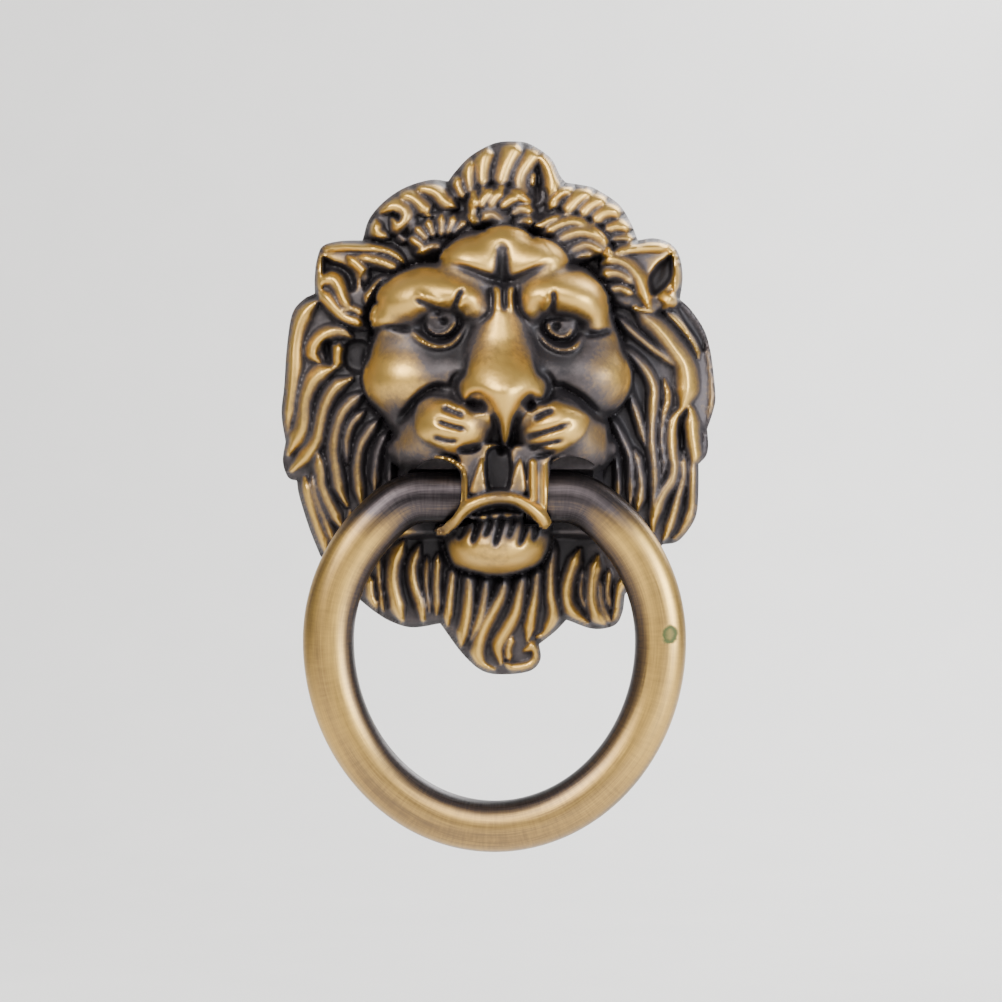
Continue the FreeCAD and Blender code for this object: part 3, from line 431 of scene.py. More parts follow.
# Over the keeper plate the metal stays this thick, with a slope beyond the plate.
PLATE_DROP, PLATE_HALF, PLATE_COVER, PLATE_SLOPE = 13.3, (14.5, 5.6), 8.4, 2.4
RING_ROOM, ARM_START, LEAST_UNDER_RING = 0.5, 8.5, 2.0
INWARD_SWING = radians(9.3)  # a little past the ring's swing towards the door
DRAW_CENTRE = (0.15, -14.15)  # the casting's sides lean towards the line through this point
EDGE_TRIM, WELD = 0.02, 0.02
FRONT_SLACK, WALL_START = 0.35, -0.4  # what counts as carved front, and as side wall
WALL_RUB, BACK_RUB = 0.22, 0.3  # how rubbed the side wall and the back are

# The back of the casting, in millimetres. Half sizes of the two hollows first.
SHALLOW_HOLLOW, DEEP_HOLLOW = (27.8, 5.0, 30.2), (16.5, 12.0, 24.0)
BAY_HALF, BAY_FRONT, BAY_BELOW, BAY_ABOVE = 14.4, -7.75, 5.3, 6.1  # room for the keeper plate
SADDLE_HALF, SADDLE_TALL, SADDLE_WALL = 3.4, 5.8, 1.15
BOSS_HEIGHT, BOSS_RADIUS, BOSS_BORE, BOSS_DEPTH = 22.5, 3.5, 1.65, 6.5
SEAT_RADIUS, SEAT_HALF = 1.52, 4.1  # the pin's seat
TAP_SPREAD, TAP_RADIUS, TAP_DEPTH = 3.2, 1.0, 3.8  # holes for the keeper's screws
BARREL_ROOM, BARREL_END, ARM_ROOM, ARM_SLACK = 0.35, 15.4, 0.6, 1.4
ARM_STOPS = (9.5, 11.5, 13.5, 15.5, 17.5, 19.0)
ARM_SWEEP = (radians(-15), radians(99))  # a little past the ring's swing both ways


def smooth_line(points, step=0.3, closed=False):
    """A curve through all the points, cut into short even runs."""
    p = np.array(points, float)
    if closed:
        ext = np.vstack([p[-1], p, p[0], p[1]])
    else:
        ext = np.vstack([2 * p[0] - p[1], p, 2 * p[-1] - p[-2]])
    runs = []
    for a, b, c, d in zip(ext, ext[1:], ext[2:], ext[3:]):
        count = max(2, int(np.linalg.norm((c - b)[:2]) / step) + 1)
        t = np.linspace(0, 1, count, endpoint=False)[:, None]
        runs.append(0.5 * (2 * b + (c - a) * t + (2 * a - 5 * b + 4 * c - d) * t ** 2
                           + (3 * b - a - 3 * c + d) * t ** 3))
    if not closed:
        runs.append(p[-1:])
    return np.vstack(runs)


def blur(field, radius):
    """Soften a field by a Gaussian of that many cells."""
    reach = int(radius * 3) + 1
    kernel = np.exp(-0.5 * (np.arange(-reach, reach + 1) / radius) ** 2)
    kernel /= kernel.sum()
    for axis in (0, 1):
        pad = [(reach, reach) if a == axis else (0, 0) for a in (0, 1)]
        wide = np.pad(field, pad, mode="edge")
        field = sum(k * np.take(wide, np.arange(n, n + field.shape[axis]), axis=axis)
                    for n, k in enumerate(kernel))
    return field


def quarter_round(distance, width):
    """0 at an edge, rising like a quarter of a circle to 1 at this width."""
    return np.sqrt(1 - (1 - np.clip(distance / width, 0, 1)) ** 2)


class Relief:
    """The mask's front as a height over the door, on an even grid."""

    def __init__(self, step):
        left, right, bottom, top = SHEET
        self.step = step
        self.xs = np.arange(left, right, step)
        self.zs = np.arange(bottom, top, step)
        self.x, self.z = np.meshgrid(self.xs, self.zs, indexing="ij")
        self.h = np.zeros_like(self.x)

    def measure(self, line, reach, closed=False):
        """Distance to a line, the share of its length, and inside or not, in a window."""
        low, high = line[:, :2].min(0) - reach, line[:, :2].max(0) + reach
        i0, i1 = np.searchsorted(self.xs, [low[0], high[0]])
        j0, j1 = np.searchsorted(self.zs, [low[1], high[1]])
        window = np.s_[i0:i1, j0:j1]
        x, z = self.x[window], self.z[window]
        starts = line[:, :2] if closed else line[:-1, :2]
        ends = np.roll(line, -1, axis=0)[:, :2] if closed else line[1:, :2]
        best, share = np.full(x.shape, 1e9), np.zeros(x.shape)
        inside = np.zeros(x.shape, bool)
        for k, (a, b) in enumerate(zip(starts, ends)):
            run = b - a
            t = np.clip(((x - a[0]) * run[0] + (z - a[1]) * run[1]) / max(run @ run, 1e-12), 0, 1)
            d = np.hypot(x - a[0] - t * run[0], z - a[1] - t * run[1])
            nearer = d < best
            best[nearer] = d[nearer]
            share[nearer] = (k + t[nearer]) / len(starts)
            if closed and a[1] != b[1]:
                inside ^= ((a[1] > z) != (b[1] > z)) & (x < run[0] * (z - a[1]) / run[1] + a[0])
        return window, best, share, inside

    def patch(self, points, roundness):
        """A cushion shape, 0 at the closed line and 1 well inside it."""
        window, d, _, inside = self.measure(smooth_line(points, closed=True), 1.0, True)
        return window, np.where(inside, quarter_round(d, roundness), 0.0)

    def oval(self, x, z, half_x, half_z):
        """0 in the middle of an oval and 1 on its edge."""
        return ((self.x - x) / half_x) ** 2 + ((self.z - z) / half_z) ** 2

    def cushion(self, points, lift, roundness):
        """Raise a closed patch, or sink it where the lift is below zero."""
        window, swell = self.patch(points, roundness)
        self.h[window] += lift * swell

    def crease(self, points, depth, half, grid=None):
        """Cut a soft line that fades at both ends, or raise it where the depth is below zero."""
        window, d, share, _ = self.measure(smooth_line(points), half * 3)
        fade = np.clip(np.minimum(share, 1 - share) * 4.5 + 0.06, 0, 1)
        target = self.h if grid is None else grid
        target[window] -= depth * fade * np.exp(-(d / half) ** 2)

    def merge(self, window, height, softness):
        """Join another form on, rounding where they meet."""
        here = self.h[window]
        gap = np.clip(0.5 + 0.5 * (height - here) / softness, 0, 1)
        self.h[window] = here * (1 - gap) + height * gap + softness * gap * (1 - gap)

    def form(self, x, z, foot, half_x, half_z, rise):
        """Join on half an egg."""
        inside = 1 - ((self.x - x) / half_x) ** 2 - ((self.z - z) / half_z) ** 2
        height = np.where(inside > 0, foot + rise * np.sqrt(np.maximum(inside, 0)), NO_METAL)
        self.merge(np.s_[:, :], height, FACE_JOIN)

    def beam(self, foot, points, softness, fullness=0.45):
        """Join on a mass whose width and height change along a line."""
        line = smooth_line(points)
        window, d, share, _ = self.measure(line, 9)
        at = share * (len(line) - 1)
        half = np.interp(at, np.arange(len(line)), line[:, 2])
        top = np.interp(at, np.arange(len(line)), line[:, 3])
        inside = 1 - (d / half) ** 2
        height = np.where(inside > 0, foot + (top - foot) * np.maximum(inside, 0) ** fullness, NO_METAL)
        self.merge(window, height, softness)


def edge_line():
    """The mask's edge, one smooth run per lock, as one closed line."""
    return np.vstack([smooth_line(run, 0.4)[:-1] for run in EDGE_RUNS])


def comb_mane(r, sizes):
    """A dome with a ridge for each lock, the tufts that lie over it and the sunk places."""
    dome_x, dome_z = DOME_HALF
    dome = sizes.mane_height / MM * np.sqrt(
        np.maximum(1 - (r.x / dome_x) ** 2 - (r.z / dome_z) ** 2, 0.05))
    hair = np.zeros_like(r.h)
    for half, *points in LOCKS:
        window, d, share, _ = r.measure(smooth_line(points), LOCK_REACH)
        taper = np.clip(np.minimum(share * 5 + 0.35, (1 - share) * 4 + 0.3), 0, 1)
        wide = half * sizes.lock_width * taper
        lift = sizes.lock_lift / MM * (half / MIDDLING_LOCK) ** 0.6 * (0.55 + 0.45 * taper)
        slope = np.clip(d / wide, 0, 1)
        ridge = lift * (0.72 * (1 - slope ** 2) + 0.28 * (1 - slope) ** 1.3)
        hair[window] = np.maximum(hair[window], ridge)
    r.h = dome - sizes.groove / MM
    for lift, *points in TUFTS:
        r.cushion(points, lift, TUFT_ROUND)
    r.h += hair
    for depth, softness, *points in SINKS:
        r.cushion(points, -depth, softness)


def model_face(r):
    """The face stands out of the mane behind a groove, built up from rounded masses."""
    window, d, _, within = r.measure(smooth_line(FACE_EDGE, closed=True), 2, True)
    depth, width = FACE_GROOVE
    r.h[window] -= depth * np.exp(-(d / width) ** 2)
    mass = FACE_FOOT + FACE_RISE * quarter_round(d, FACE_ROUND)
    r.h[window] = np.where(within, np.maximum(mass, r.h[window]), r.h[window])
    for form in FORMS:
        r.form(*form)
    for foot, fullness, *points in BEAMS:
        r.beam(foot, points, FACE_JOIN, fullness)
    face = np.zeros(r.h.shape, bool)
    face[window] = within
    r.h = np.where(face, blur(r.h, 2.0), r.h)


def set_eyes(r):
    """Sink each socket, raise the ball under its upper lid and sink the pupil."""
    shift_x, shift_z = BALL_SHIFT
    ball_x, ball_z = BALL_HALF
    for x, z, half_x, half_z, pupil_x, pupil_z in EYES:
        r.h -= SOCKET_DEPTH * np.exp(-r.oval(x, z, half_x, half_z) ** 1.5)
        ball = 1 - ((r.x - x - shift_x) / ball_x) ** 2 - ((r.z - z - shift_z) / ball_z) ** 2
        below_lid = np.clip(pupil_z + UPPER_LID - r.z, 0, 1)
        r.h += BALL_RISE * np.sqrt(np.maximum(ball, 0)) * below_lid
        r.h -= PUPIL_DEPTH * np.exp(-r.oval(pupil_x, pupil_z, *PUPIL_HALF) ** 1.5)


def shape_nose(r):
    """Raise the nose, more and more from the bridge down to its tip."""
    window, swell = r.patch(NOSE, NOSE_ROUND)
    down = np.clip((NOSE_TOP - r.z[window]) / NOSE_FADE, 0, 1)
    r.h[window] += NOSE_LIFT * swell * down ** 2 * (3 - 2 * down)


def open_mouth(r):
    """A flat wall between the ring's holes, the gap and two fangs on it, and the lip below."""
    window, swell = r.patch(JAW_FACE, JAW_ROUND)
    r.h[window] = r.h[window] * (1 - swell) + JAW_FLOOR * swell
    for line in JAW_EDGES:
        r.beam(JAW_FOOT, line, 0.3)
    r.cushion(MOUTH_GAP, -GAP_DEPTH, GAP_ROUND)
    for fang in FANGS:
        r.cushion(fang, FANG_LIFT, FANG_ROUND)
    r.crease(UNDER_LIP, 1.6, .6)
    r.beam(LIP_FOOT, LIP_LINE, 0.4)


def cover_plate(r):
    """Keep enough metal over the keeper plate."""
    half_x, half_z = PLATE_HALF
    beyond = np.maximum(np.abs(r.x) - half_x, np.abs(r.z + PLATE_DROP) - half_z)
    cover = np.maximum(r.h, PLATE_COVER - 2.0 * np.clip(beyond, 0, PLATE_SLOPE))
    r.h = np.where(beyond < PLATE_SLOPE, cover, r.h)


def arm_limit(r):
    """Keep the hair under the ring, also where it swings back onto the door."""
    ring = bpy.context.scene.knocker_ring_sizes
    radius, crown = ring.width / 2 / MM, ring.crown / MM
    centre = crown - radius
    drop = -PIVOT.z / MM
    below = -(r.z + drop)
    off = np.abs(np.hypot(r.x + ring.offset / MM, (r.z + drop) - centre) - radius)
    tube = ring.tube / 2 / MM + RING_ROOM
    back = -PIVOT.y / MM - np.maximum(below, 0) * np.tan(INWARD_SWING)
    limit = back - np.sqrt(np.maximum(tube ** 2 - off ** 2, 0))
    near = (off < tube) & (below > 0) & (np.abs(r.x) > ARM_START)
    r.h = np.where(near, np.minimum(r.h, np.maximum(limit, LEAST_UNDER_RING)), r.h)


def carve_relief(sizes):
    """Heights of the whole front, and how much each place is rubbed bright or darkened by patina and
    painted shade.
    """
    r = Relief(sizes.grain / MM)
    edge = edge_line()
    _, edge_d, _, inside = r.measure(edge, WHOLE_SHEET, True)
    comb_mane(r, sizes)
    model_face(r)
    set_eyes(r)
    for lift, roundness, *points in WHISKER_PADS:
        r.cushion(points, lift, roundness)
    shape_nose(r)
    open_mouth(r)
    crease_shade = np.zeros_like(r.h)
    # each crease is painted darker as well as cut: painted shade along its line
    for depth, half, *points in CREASES:
        r.crease(points, depth, half)
        r.crease(points, CREASE_SHADE, half * 1.1, crease_shade)
    for lift, half, *points in BEADS:
        r.crease(points, -lift, half)
    r.h *= 0.5 + 0.5 * quarter_round(edge_d, EDGE_ROUND)
    r.h = np.maximum(blur(r.h, 0.55), LEAST_HEIGHT)
    cover_plate(r)
    arm_limit(r)
    # what stands over its near and its wider surroundings is rubbed brighter; what lies below them is
    # darker, patina with painted shade in the hollows
    rub = 0.36 + 0.60 * (r.h - blur(r.h, 3.0)) + 0.17 * (r.h - blur(r.h, 12.0))
    # spots of wear, and spots of painted shade where shade falls
    shine = np.zeros_like(r.h)
    for x, z, radius, amount in WEAR_AND_SHADE_SPOTS:
        shine += amount * np.exp(-((r.x - x) ** 2 + (r.z - z) ** 2) / radius ** 2)
    # painted shade: darker towards the mask's edge, where the rounded rim turns away
    rub *= 0.35 + 0.65 * np.clip(edge_d / 1.1, 0, 1)
    return r, np.where(inside, edge_d, -edge_d), np.clip(rub + crease_shade, 0, 1), shine, edge


# ------------------------------------------------------------------ meshes

def new_mesh(name, verts, faces):
    mesh = bpy.data.meshes.new(name)
    mesh.from_pydata([tuple(v) for v in verts], [], [tuple(f) for f in faces])
    mesh.update()
    return mesh


def new_object(name, mesh):
    """A new object in the scene, for a mesh, a light or a camera."""
    thing = bpy.data.objects.new(name, mesh)
    bpy.context.scene.collection.objects.link(thing)
    return thing


def frozen(thing):
    """Replace an object's mesh by its evaluated one and drop the modifiers."""
    graph = bpy.context.evaluated_depsgraph_get()
    mesh = bpy.data.meshes.new_from_object(thing.evaluated_get(graph))
    thing.modifiers.clear()
    thing.data = mesh
    return mesh


def block(low, high):
    """A closed tool body between two corners, for cutting."""
    bm = bmesh.new()
    bmesh.ops.create_cube(bm, size=1)
    low, high = Vector(low), Vector(high)
    for v in bm.verts:
        v.co = (low + high) / 2 + Vector(a * b for a, b in zip(v.co, high - low))
    return bm


def rod(radius, start, end, sides=40):
    """A closed round tool body between two points."""
    bm = bmesh.new()
    start, end = Vector(start), Vector(end)
    bmesh.ops.create_cone(bm, cap_ends=True, segments=sides, radius1=radius, radius2=radius,
                          depth=(end - start).length)
    turn = Vector((0, 0, 1)).rotation_difference(end - start).to_matrix().to_4x4()
    bmesh.ops.transform(bm, matrix=Matrix.Translation((start + end) / 2) @ turn, verts=bm.verts)
    return bm


def egg(half_x, half_y, half_z):
    """A closed egg-shaped tool body."""
    bm = bmesh.new()
    bmesh.ops.create_uvsphere(bm, u_segments=72, v_segments=48, radius=1)
    bmesh.ops.scale(bm, vec=(half_x, half_y, half_z), verts=bm.verts)
    return bm


def prism(points, front, back):
    """A closed tool body through a drawn hole, from front to back along y."""
    bm = bmesh.new()
    line = smooth_line(points, 0.5, True)
    rings = [[bm.verts.new((x, y, z)) for x, z in line] for y in (front, back)]
    count = len(line)
    for k in range(count):
        bm.faces.new([rings[0][k], rings[0][(k + 1) % count], rings[1][(k + 1) % count], rings[1][k]])
    bm.faces.new(rings[0])
    bm.faces.new(rings[1])
    bmesh.ops.recalc_face_normals(bm, faces=bm.faces)
    return bm


def turned(profile, start, end, steps=40):
    """A closed tool body: a profile of (x, radius) turned about the ring's axis."""
    bm = bmesh.new()
    rings = []
    for k in range(steps + 1):
        angle = start + (end - start) * k / steps
        ahead, under = np.sin(angle), np.cos(angle)
        rings.append([bm.verts.new((x, PIVOT.y / MM - rho * ahead, PIVOT.z / MM - rho * under))
                      for x, rho in profile])
    count = len(profile)
    for a, b in zip(rings, rings[1:]):
        for k in range(count):
            bm.faces.new([a[k], a[(k + 1) % count], b[(k + 1) % count], b[k]])
    bm.faces.new(rings[0])
    bm.faces.new(rings[-1])
    bmesh.ops.remove_doubles(bm, verts=bm.verts, dist=1e-5)
    bmesh.ops.dissolve_degenerate(bm, dist=1e-6, edges=bm.edges)
    bmesh.ops.recalc_face_normals(bm, faces=bm.faces)
    return bm


def apply_tool(thing, tool, operation):
    """Join one closed object to another or cut it out, and remove it."""
    step = thing.modifiers.new("tool", "BOOLEAN")
    step.operation, step.solver, step.object = operation, "MANIFOLD", tool
    frozen(thing)
    bpy.data.objects.remove(tool)


def combine(thing, tools, operation):
    """Join or cut with each tool body in turn. The tools are in millimetres."""
    for bm in tools:
        bmesh.ops.triangulate(bm, faces=[f for f in bm.faces if len(f.verts) > 4])
        mesh = bpy.data.meshes.new("tool")
        bm.to_mesh(mesh)
        bm.free()
        mesh.transform(Matrix.Scale(MM, 4))
        before = len(thing.data.polygons)
        apply_tool(thing, new_object("tool", mesh), operation)
        if len(thing.data.polygons) < 4:
            raise RuntimeError(f"{thing.name}: a cut removed everything ({before} faces before)")


def head_blank(r, edge_d, edge, draw):
    """The solid mask without its hollow: front, side wall and flat back."""
    cells = edge_d > EDGE_TRIM
    whole = cells[:-1, :-1] & cells[1:, :-1] & cells[:-1, 1:] & cells[1:, 1:]
    index = np.full(cells.shape, -1)
    used = np.zeros(cells.shape, int)
    for di, dj in ((0, 0), (1, 0), (0, 1), (1, 1)):
        used[di:di + whole.shape[0], dj:dj + whole.shape[1]] += whole
    picked = used > 0
    index[picked] = np.arange(picked.sum())
    x, z, h = r.x[picked].copy(), r.z[picked].copy(), r.h[picked]
    rim = used[picked] < 4
    dense = np.vstack([a + (b - a) * t for a, b in zip(edge, np.roll(edge, -1, axis=0))
                       for t in (0, .25, .5, .75)])
    for k in np.nonzero(rim)[0]:
        nearest = dense[np.argmin((dense[:, 0] - x[k]) ** 2 + (dense[:, 1] - z[k]) ** 2)]
        x[k], z[k] = nearest
    i, j = np.nonzero(whole)
    quads = np.stack([index[i, j], index[i + 1, j], index[i + 1, j + 1], index[i, j + 1]], 1)
    verts = np.stack([x, -h, z], 1)
    bm = bmesh.new()
    mesh = new_mesh("head_front", verts, quads)
    bm.from_mesh(mesh)
    bmesh.ops.remove_doubles(bm, verts=[v for v in bm.verts if v.is_boundary], dist=WELD)
    bmesh.ops.dissolve_degenerate(bm, dist=1e-4, edges=bm.edges)
    # the side wall in two steps, down to the door
    for share in (0.5, 0.0):
        loop = [e for e in bm.edges if e.is_boundary]
        grown = bmesh.ops.extrude_edge_only(bm, edges=loop)["geom"]
        for v in grown:
            if isinstance(v, bmesh.types.BMVert):
                v.co.y *= share
    bmesh.ops.holes_fill(bm, edges=[e for e in bm.edges if e.is_boundary], sides=0)
    bmesh.ops.triangulate(bm, faces=[f for f in bm.faces if len(f.verts) > 4])
    bmesh.ops.recalc_face_normals(bm, faces=bm.faces)
    centre_x, centre_z = DRAW_CENTRE
    for v in bm.verts:
        pull = 1 + v.co.y / draw
        v.co.x = centre_x + (v.co.x - centre_x) * pull
        v.co.z = centre_z + (v.co.z - centre_z) * pull
    if bm.calc_volume(signed=True) < 0:
        bmesh.ops.reverse_faces(bm, faces=bm.faces)
    bm.to_mesh(mesh)
    bm.free()
    mesh.transform(Matrix.Scale(MM, 4))
    return mesh


# ------------------------------------------------------------------ node graphs

class Term:
    """A socket that can be used in arithmetic; each step adds a Math node."""

    def __init__(self, graph, socket):
        self.graph, self.socket = graph, socket

    def step(self, operation, *others, swapped=False):
        values = [self, *others]
        if swapped:
            values.reverse()
        return self.graph.out("ShaderNodeMath", dict(enumerate(values)), {"operation": operation})

    def __add__(self, other):
        return self.step("ADD", other)

    def __radd__(self, other):
        return self.step("ADD", other)

    def __sub__(self, other):
        return self.step("SUBTRACT", other)

    def __rsub__(self, other):
        return self.step("SUBTRACT", other, swapped=True)

    def __mul__(self, other):
        return self.step("MULTIPLY", other)

    def __rmul__(self, other):
        return self.step("MULTIPLY", other)

    def __truediv__(self, other):
        return self.step("DIVIDE", other)

    def __pow__(self, other):
        return self.step("POWER", other)

    def clamped(self):
        return self.graph.out("ShaderNodeClamp", {"Value": self, "Min": 0.0, "Max": 1.0})

    def between(self, low, high):
        """0 below low, 1 above high, smooth in between."""
        return self.graph.out("ShaderNodeMapRange", {"Value": self, "From Min": low, "From Max": high},
                              {"interpolation_type": "SMOOTHSTEP"})


class Graph:
    """Adds nodes to one tree."""

    def __init__(self, tree):
        self.tree = tree

    def node(self, kind, settings=None, inputs=None):
        """A new node. Stops are the places and colours of a ramp."""
        made = self.tree.nodes.new(kind)
        for key, value in (settings or {}).items():
            if key == "stops":
                ramp = made.color_ramp
                while len(ramp.elements) < len(value):
                    ramp.elements.new(0.5)
                for element, (place, colour) in zip(ramp.elements, value):
                    element.position, element.color = place, (*colour, 1)
            else:
                setattr(made, key, value)
        for key, value in (inputs or {}).items():
            socket = made.inputs[key]
            if isinstance(value, Term):
                self.tree.links.new(value.socket, socket)
            else:
                socket.default_value = value
        return made

    def term(self, node, socket=0):
        return Term(self, node.outputs[socket])

    def out(self, kind, inputs=None, settings=None, socket=0):
        """A new node's output, for use in arithmetic or as another node's input."""
        return self.term(self.node(kind, settings, inputs), socket)

    def noise(self, where, scale, detail=3.0):
        return self.out("ShaderNodeTexNoise", {"Vector": where, "Scale": scale, "Detail": detail,
                                               "Roughness": 0.55})

    def mix(self, share, a, b):
        return self.out("ShaderNodeMix", {0: share, 6: a, 7: b}, {"data_type": "RGBA"}, socket=2)

    def vector(self, **parts):
        """A vector from its X, Y and Z."""
        return self.out("ShaderNodeCombineXYZ", parts)

    def attribute(self, name, socket="Fac"):
        return self.out("ShaderNodeAttribute", settings={"attribute_name": name}, socket=socket)

    def ramp(self, share, *stops):
        return self.out("ShaderNodeValToRGB", {"Fac": share}, {"stops": stops})

    def bump(self, strength, distance, height):
        return self.out("ShaderNodeBump", {"Strength": strength, "Distance": distance, "Height": height})

    def store(self, shape, name, kind, value):
        """Keep a value on a shape's points, for its material to read."""
        inputs = {"Geometry": shape, "Name": name, "Value": value}
        return self.out("GeometryNodeStoreNamedAttribute", inputs, {"data_type": kind, "domain": "POINT"})

    def moved(self, shape, **change):
        return self.out("GeometryNodeTransform", {"Geometry": shape, **change})

    def boolean(self, operation, first, *others):
        """Join closed shapes, or cut the others out of the first."""
        node = self.node("GeometryNodeMeshBoolean", {"operation": operation, "solver": "MANIFOLD"})
        if first:
            self.tree.links.new(first.socket, node.inputs["Mesh 1"])
        for other in others:
            self.tree.links.new(other.socket, node.inputs["Mesh 2"])
        return self.term(node)


def finish_material(name):
    """A new material, its graph and its main shader."""
    material = bpy.data.materials.new(name)
    material.use_nodes = True
    graph = Graph(material.node_tree)
    shader = next(n for n in material.node_tree.nodes if n.type == "BSDF_PRINCIPLED")
    return material, graph, shader


def feed(graph, shader, **links):
    """Give the shader's inputs their values or links."""
    for name, value in links.items():
        socket = shader.inputs[name.replace("_", " ")]
        if isinstance(value, Term):
            graph.tree.links.new(value.socket, socket)
        else:
            socket.default_value = value


def object_place(graph, scale=(1, 1, 1)):
    """The point on the object, in its own frame."""
    place = graph.out("ShaderNodeTexCoord", socket="Object")
    return graph.out("ShaderNodeMapping", {"Vector": place, "Scale": scale})


def cast_brass(finish):
    """Cast brass, dark in the hollows with patina and painted shade, rubbed bright where hands and cloths
    reach, and painted darker where shade falls.
    """
    material, g, shader = finish_material("aged_cast_brass")
    place = object_place(g)
    cloud = g.noise(place, 260.0, 4.0)
    fine = g.noise(place, 1500.0)
    wear_and_painted_light = g.attribute("rub") + g.attribute("shine") * 0.8 + (cloud - 0.5) * 0.35 + (fine - 0.5) * 0.30
    colour = g.ramp(wear_and_painted_light.clamped(), (0.0, finish.hollow), (0.34, finish.patina), (0.58, finish.brown),
                    (0.86, finish.gold))
    bright = wear_and_painted_light.between(0.3, 0.8)
    feed(g, shader, Base_Color=colour, Metallic=0.55 + bright * 0.42,
         Roughness=0.53 - bright * 0.11 + (fine - 0.5) * 0.12,
         Normal=g.bump(0.35, 0.0002, fine * 0.5 + cloud * 0.5))
    return material


# Metres under the axis between which the painted shade of the ends, under the mouth, thins out and the
# painted shade of the foot begins.
END_SHADE, FOOT_SHADE = (0.0135, 0.0205), (0.046, 0.060)
# The green spot on the ring: its middle, then over what distances its edge and its core fade.
GREEN_SPOT = (0.0247, -0.016, -0.0335)
GREEN_EDGE, GREEN_CORE = (0.0010, 0.0015), (0.0003, 0.0009)


def brushed_brass(finish):
    """Brass rod rubbed lengthwise, with long light and dark bands painted round the tube as reflections,
    and painted shade on its ends, its foot and its inner faces.
    """
    material, g, shader = finish_material("brushed_ring_brass")
    along = g.attribute("along")
    parts = g.node("ShaderNodeSeparateXYZ", {}, {"Vector": g.attribute("section", "Vector")})

    def lay(length, round_):
        """A place in a grain with so many marks along the rod and round it."""
        return g.vector(X=along * length, Y=g.term(parts, 0) * round_, Z=g.term(parts, 1) * round_)

    # painted reflections: long light and dark bands round the tube
    reflection_bands = g.noise(lay(14.0, 1.0), 1.3, 2.0)
    brush = g.noise(lay(160.0, 22.0), 1.0, 4.0)
    cross = g.noise(lay(2600.0, 1.5), 1.0)
    place = g.out("ShaderNodeTexCoord", socket="Object")
    under = g.out("ShaderNodeSeparateXYZ", {"Vector": place}, socket="Z") * -1
    # painted shade: darker on the ends near the axis, under the mouth, and towards the foot
    dark = (1 - under.between(*END_SHADE)) * 0.60 + under.between(*FOOT_SHADE) * 0.16
    # painted shade on the faces turned towards the ring's middle
    dark = dark + g.attribute("inward").between(0.30, 0.95) * 0.50
    wear_and_painted_light = (reflection_bands - 0.5) * 0.55 + 0.74 + (brush - 0.5) * 0.34 + (cross - 0.5) * 0.20 - dark
    metal = g.ramp(wear_and_painted_light.clamped(), (0.0, finish.hollow), (0.25, finish.patina), (0.52, finish.brown),
                   (0.85, finish.gold))
    spot = g.out("ShaderNodeVectorMath", {0: place, 1: GREEN_SPOT}, {"operation": "DISTANCE"}, "Value")
    ragged = spot + (g.noise(place, 900.0) - 0.5) * 0.0012
    green = (1 - ragged.between(*GREEN_EDGE)) * (0.75 + ragged.between(*GREEN_CORE) * 0.25)
    feed(g, shader, Base_Color=g.mix(green * 0.95, metal, (*finish.verdigris, 1)),
         Metallic=0.95 - green * 0.6, Roughness=0.38 + (brush - 0.5) * 0.16 + green * 0.3,
         Normal=g.bump(0.12, 0.0001, brush + cross * 0.6))
    return material


def steel(name, colour, rough, stretch, scale):
    """Plain steel with drawn or pressed marks."""
    material, g, shader = finish_material(name)
    marks = g.noise(object_place(g, stretch), scale, 4.0)
    stain = g.noise(object_place(g), 180.0)
    tone = ((marks - 0.5) * 0.5 + (stain - 0.5) * 0.9 + 0.5).clamped()
    dark = tuple(c * 0.55 for c in colour)
    feed(g, shader, Base_Color=g.mix(tone, (*dark, 1), (*colour, 1)), Metallic=0.9 + tone * 0.08,
         Roughness=rough + (stain - 0.5) * 0.2, Normal=g.bump(0.15, 0.0001, marks))
    return material


# ------------------------------------------------------------------ geometry trees

SOCKETS = {float: "NodeSocketFloat", int: "NodeSocketInt"}


def geometry_tree(name, inputs):
    """An empty tree with named inputs; returns it, its graph and the inputs as terms."""
    tree = bpy.data.node_groups.new(name, "GeometryNodeTree")
    tree.interface.new_socket("Geometry", in_out="OUTPUT", socket_type="NodeSocketGeometry")
    for label, value in inputs.items():
        kind = "NodeSocketMaterial" if isinstance(value, bpy.types.Material) else SOCKETS[type(value)]
        tree.interface.new_socket(label, in_out="INPUT", socket_type=kind)
    graph = Graph(tree)
    entry = graph.node("NodeGroupInput")
    return tree, graph, {label: graph.term(entry, label) for label in inputs}


def close_tree(tree, graph, shape, material):
    """Make the instances real, set the material and lead to the tree's output."""
    real = graph.out("GeometryNodeRealizeInstances", {"Geometry": shape})
    done = graph.node("GeometryNodeSetMaterial", {}, {"Geometry": real, "Material": material})
    exit_node = graph.node("NodeGroupOutput")
    tree.links.new(done.outputs[0], exit_node.inputs[0])


def grown(name, tree, inputs):
    """A new object whose plain mesh the tree has made."""
    thing = new_object(name, bpy.data.meshes.new(name))
    step = thing.modifiers.new("grow", "NODES")
    step.node_group = tree
    for item in tree.interface.items_tree:
        if item.item_type == "SOCKET" and item.in_out == "INPUT":
            step[item.identifier] = inputs[item.name]
    thing.update_tag()
    bpy.context.view_layer.update()
    frozen(thing)
    thing.data.name = name
    return thing


# Where the oval and arc end, and where the bend ends, as shares of half the ring's path.
ARC_END, BEND_END = 0.78, 0.94


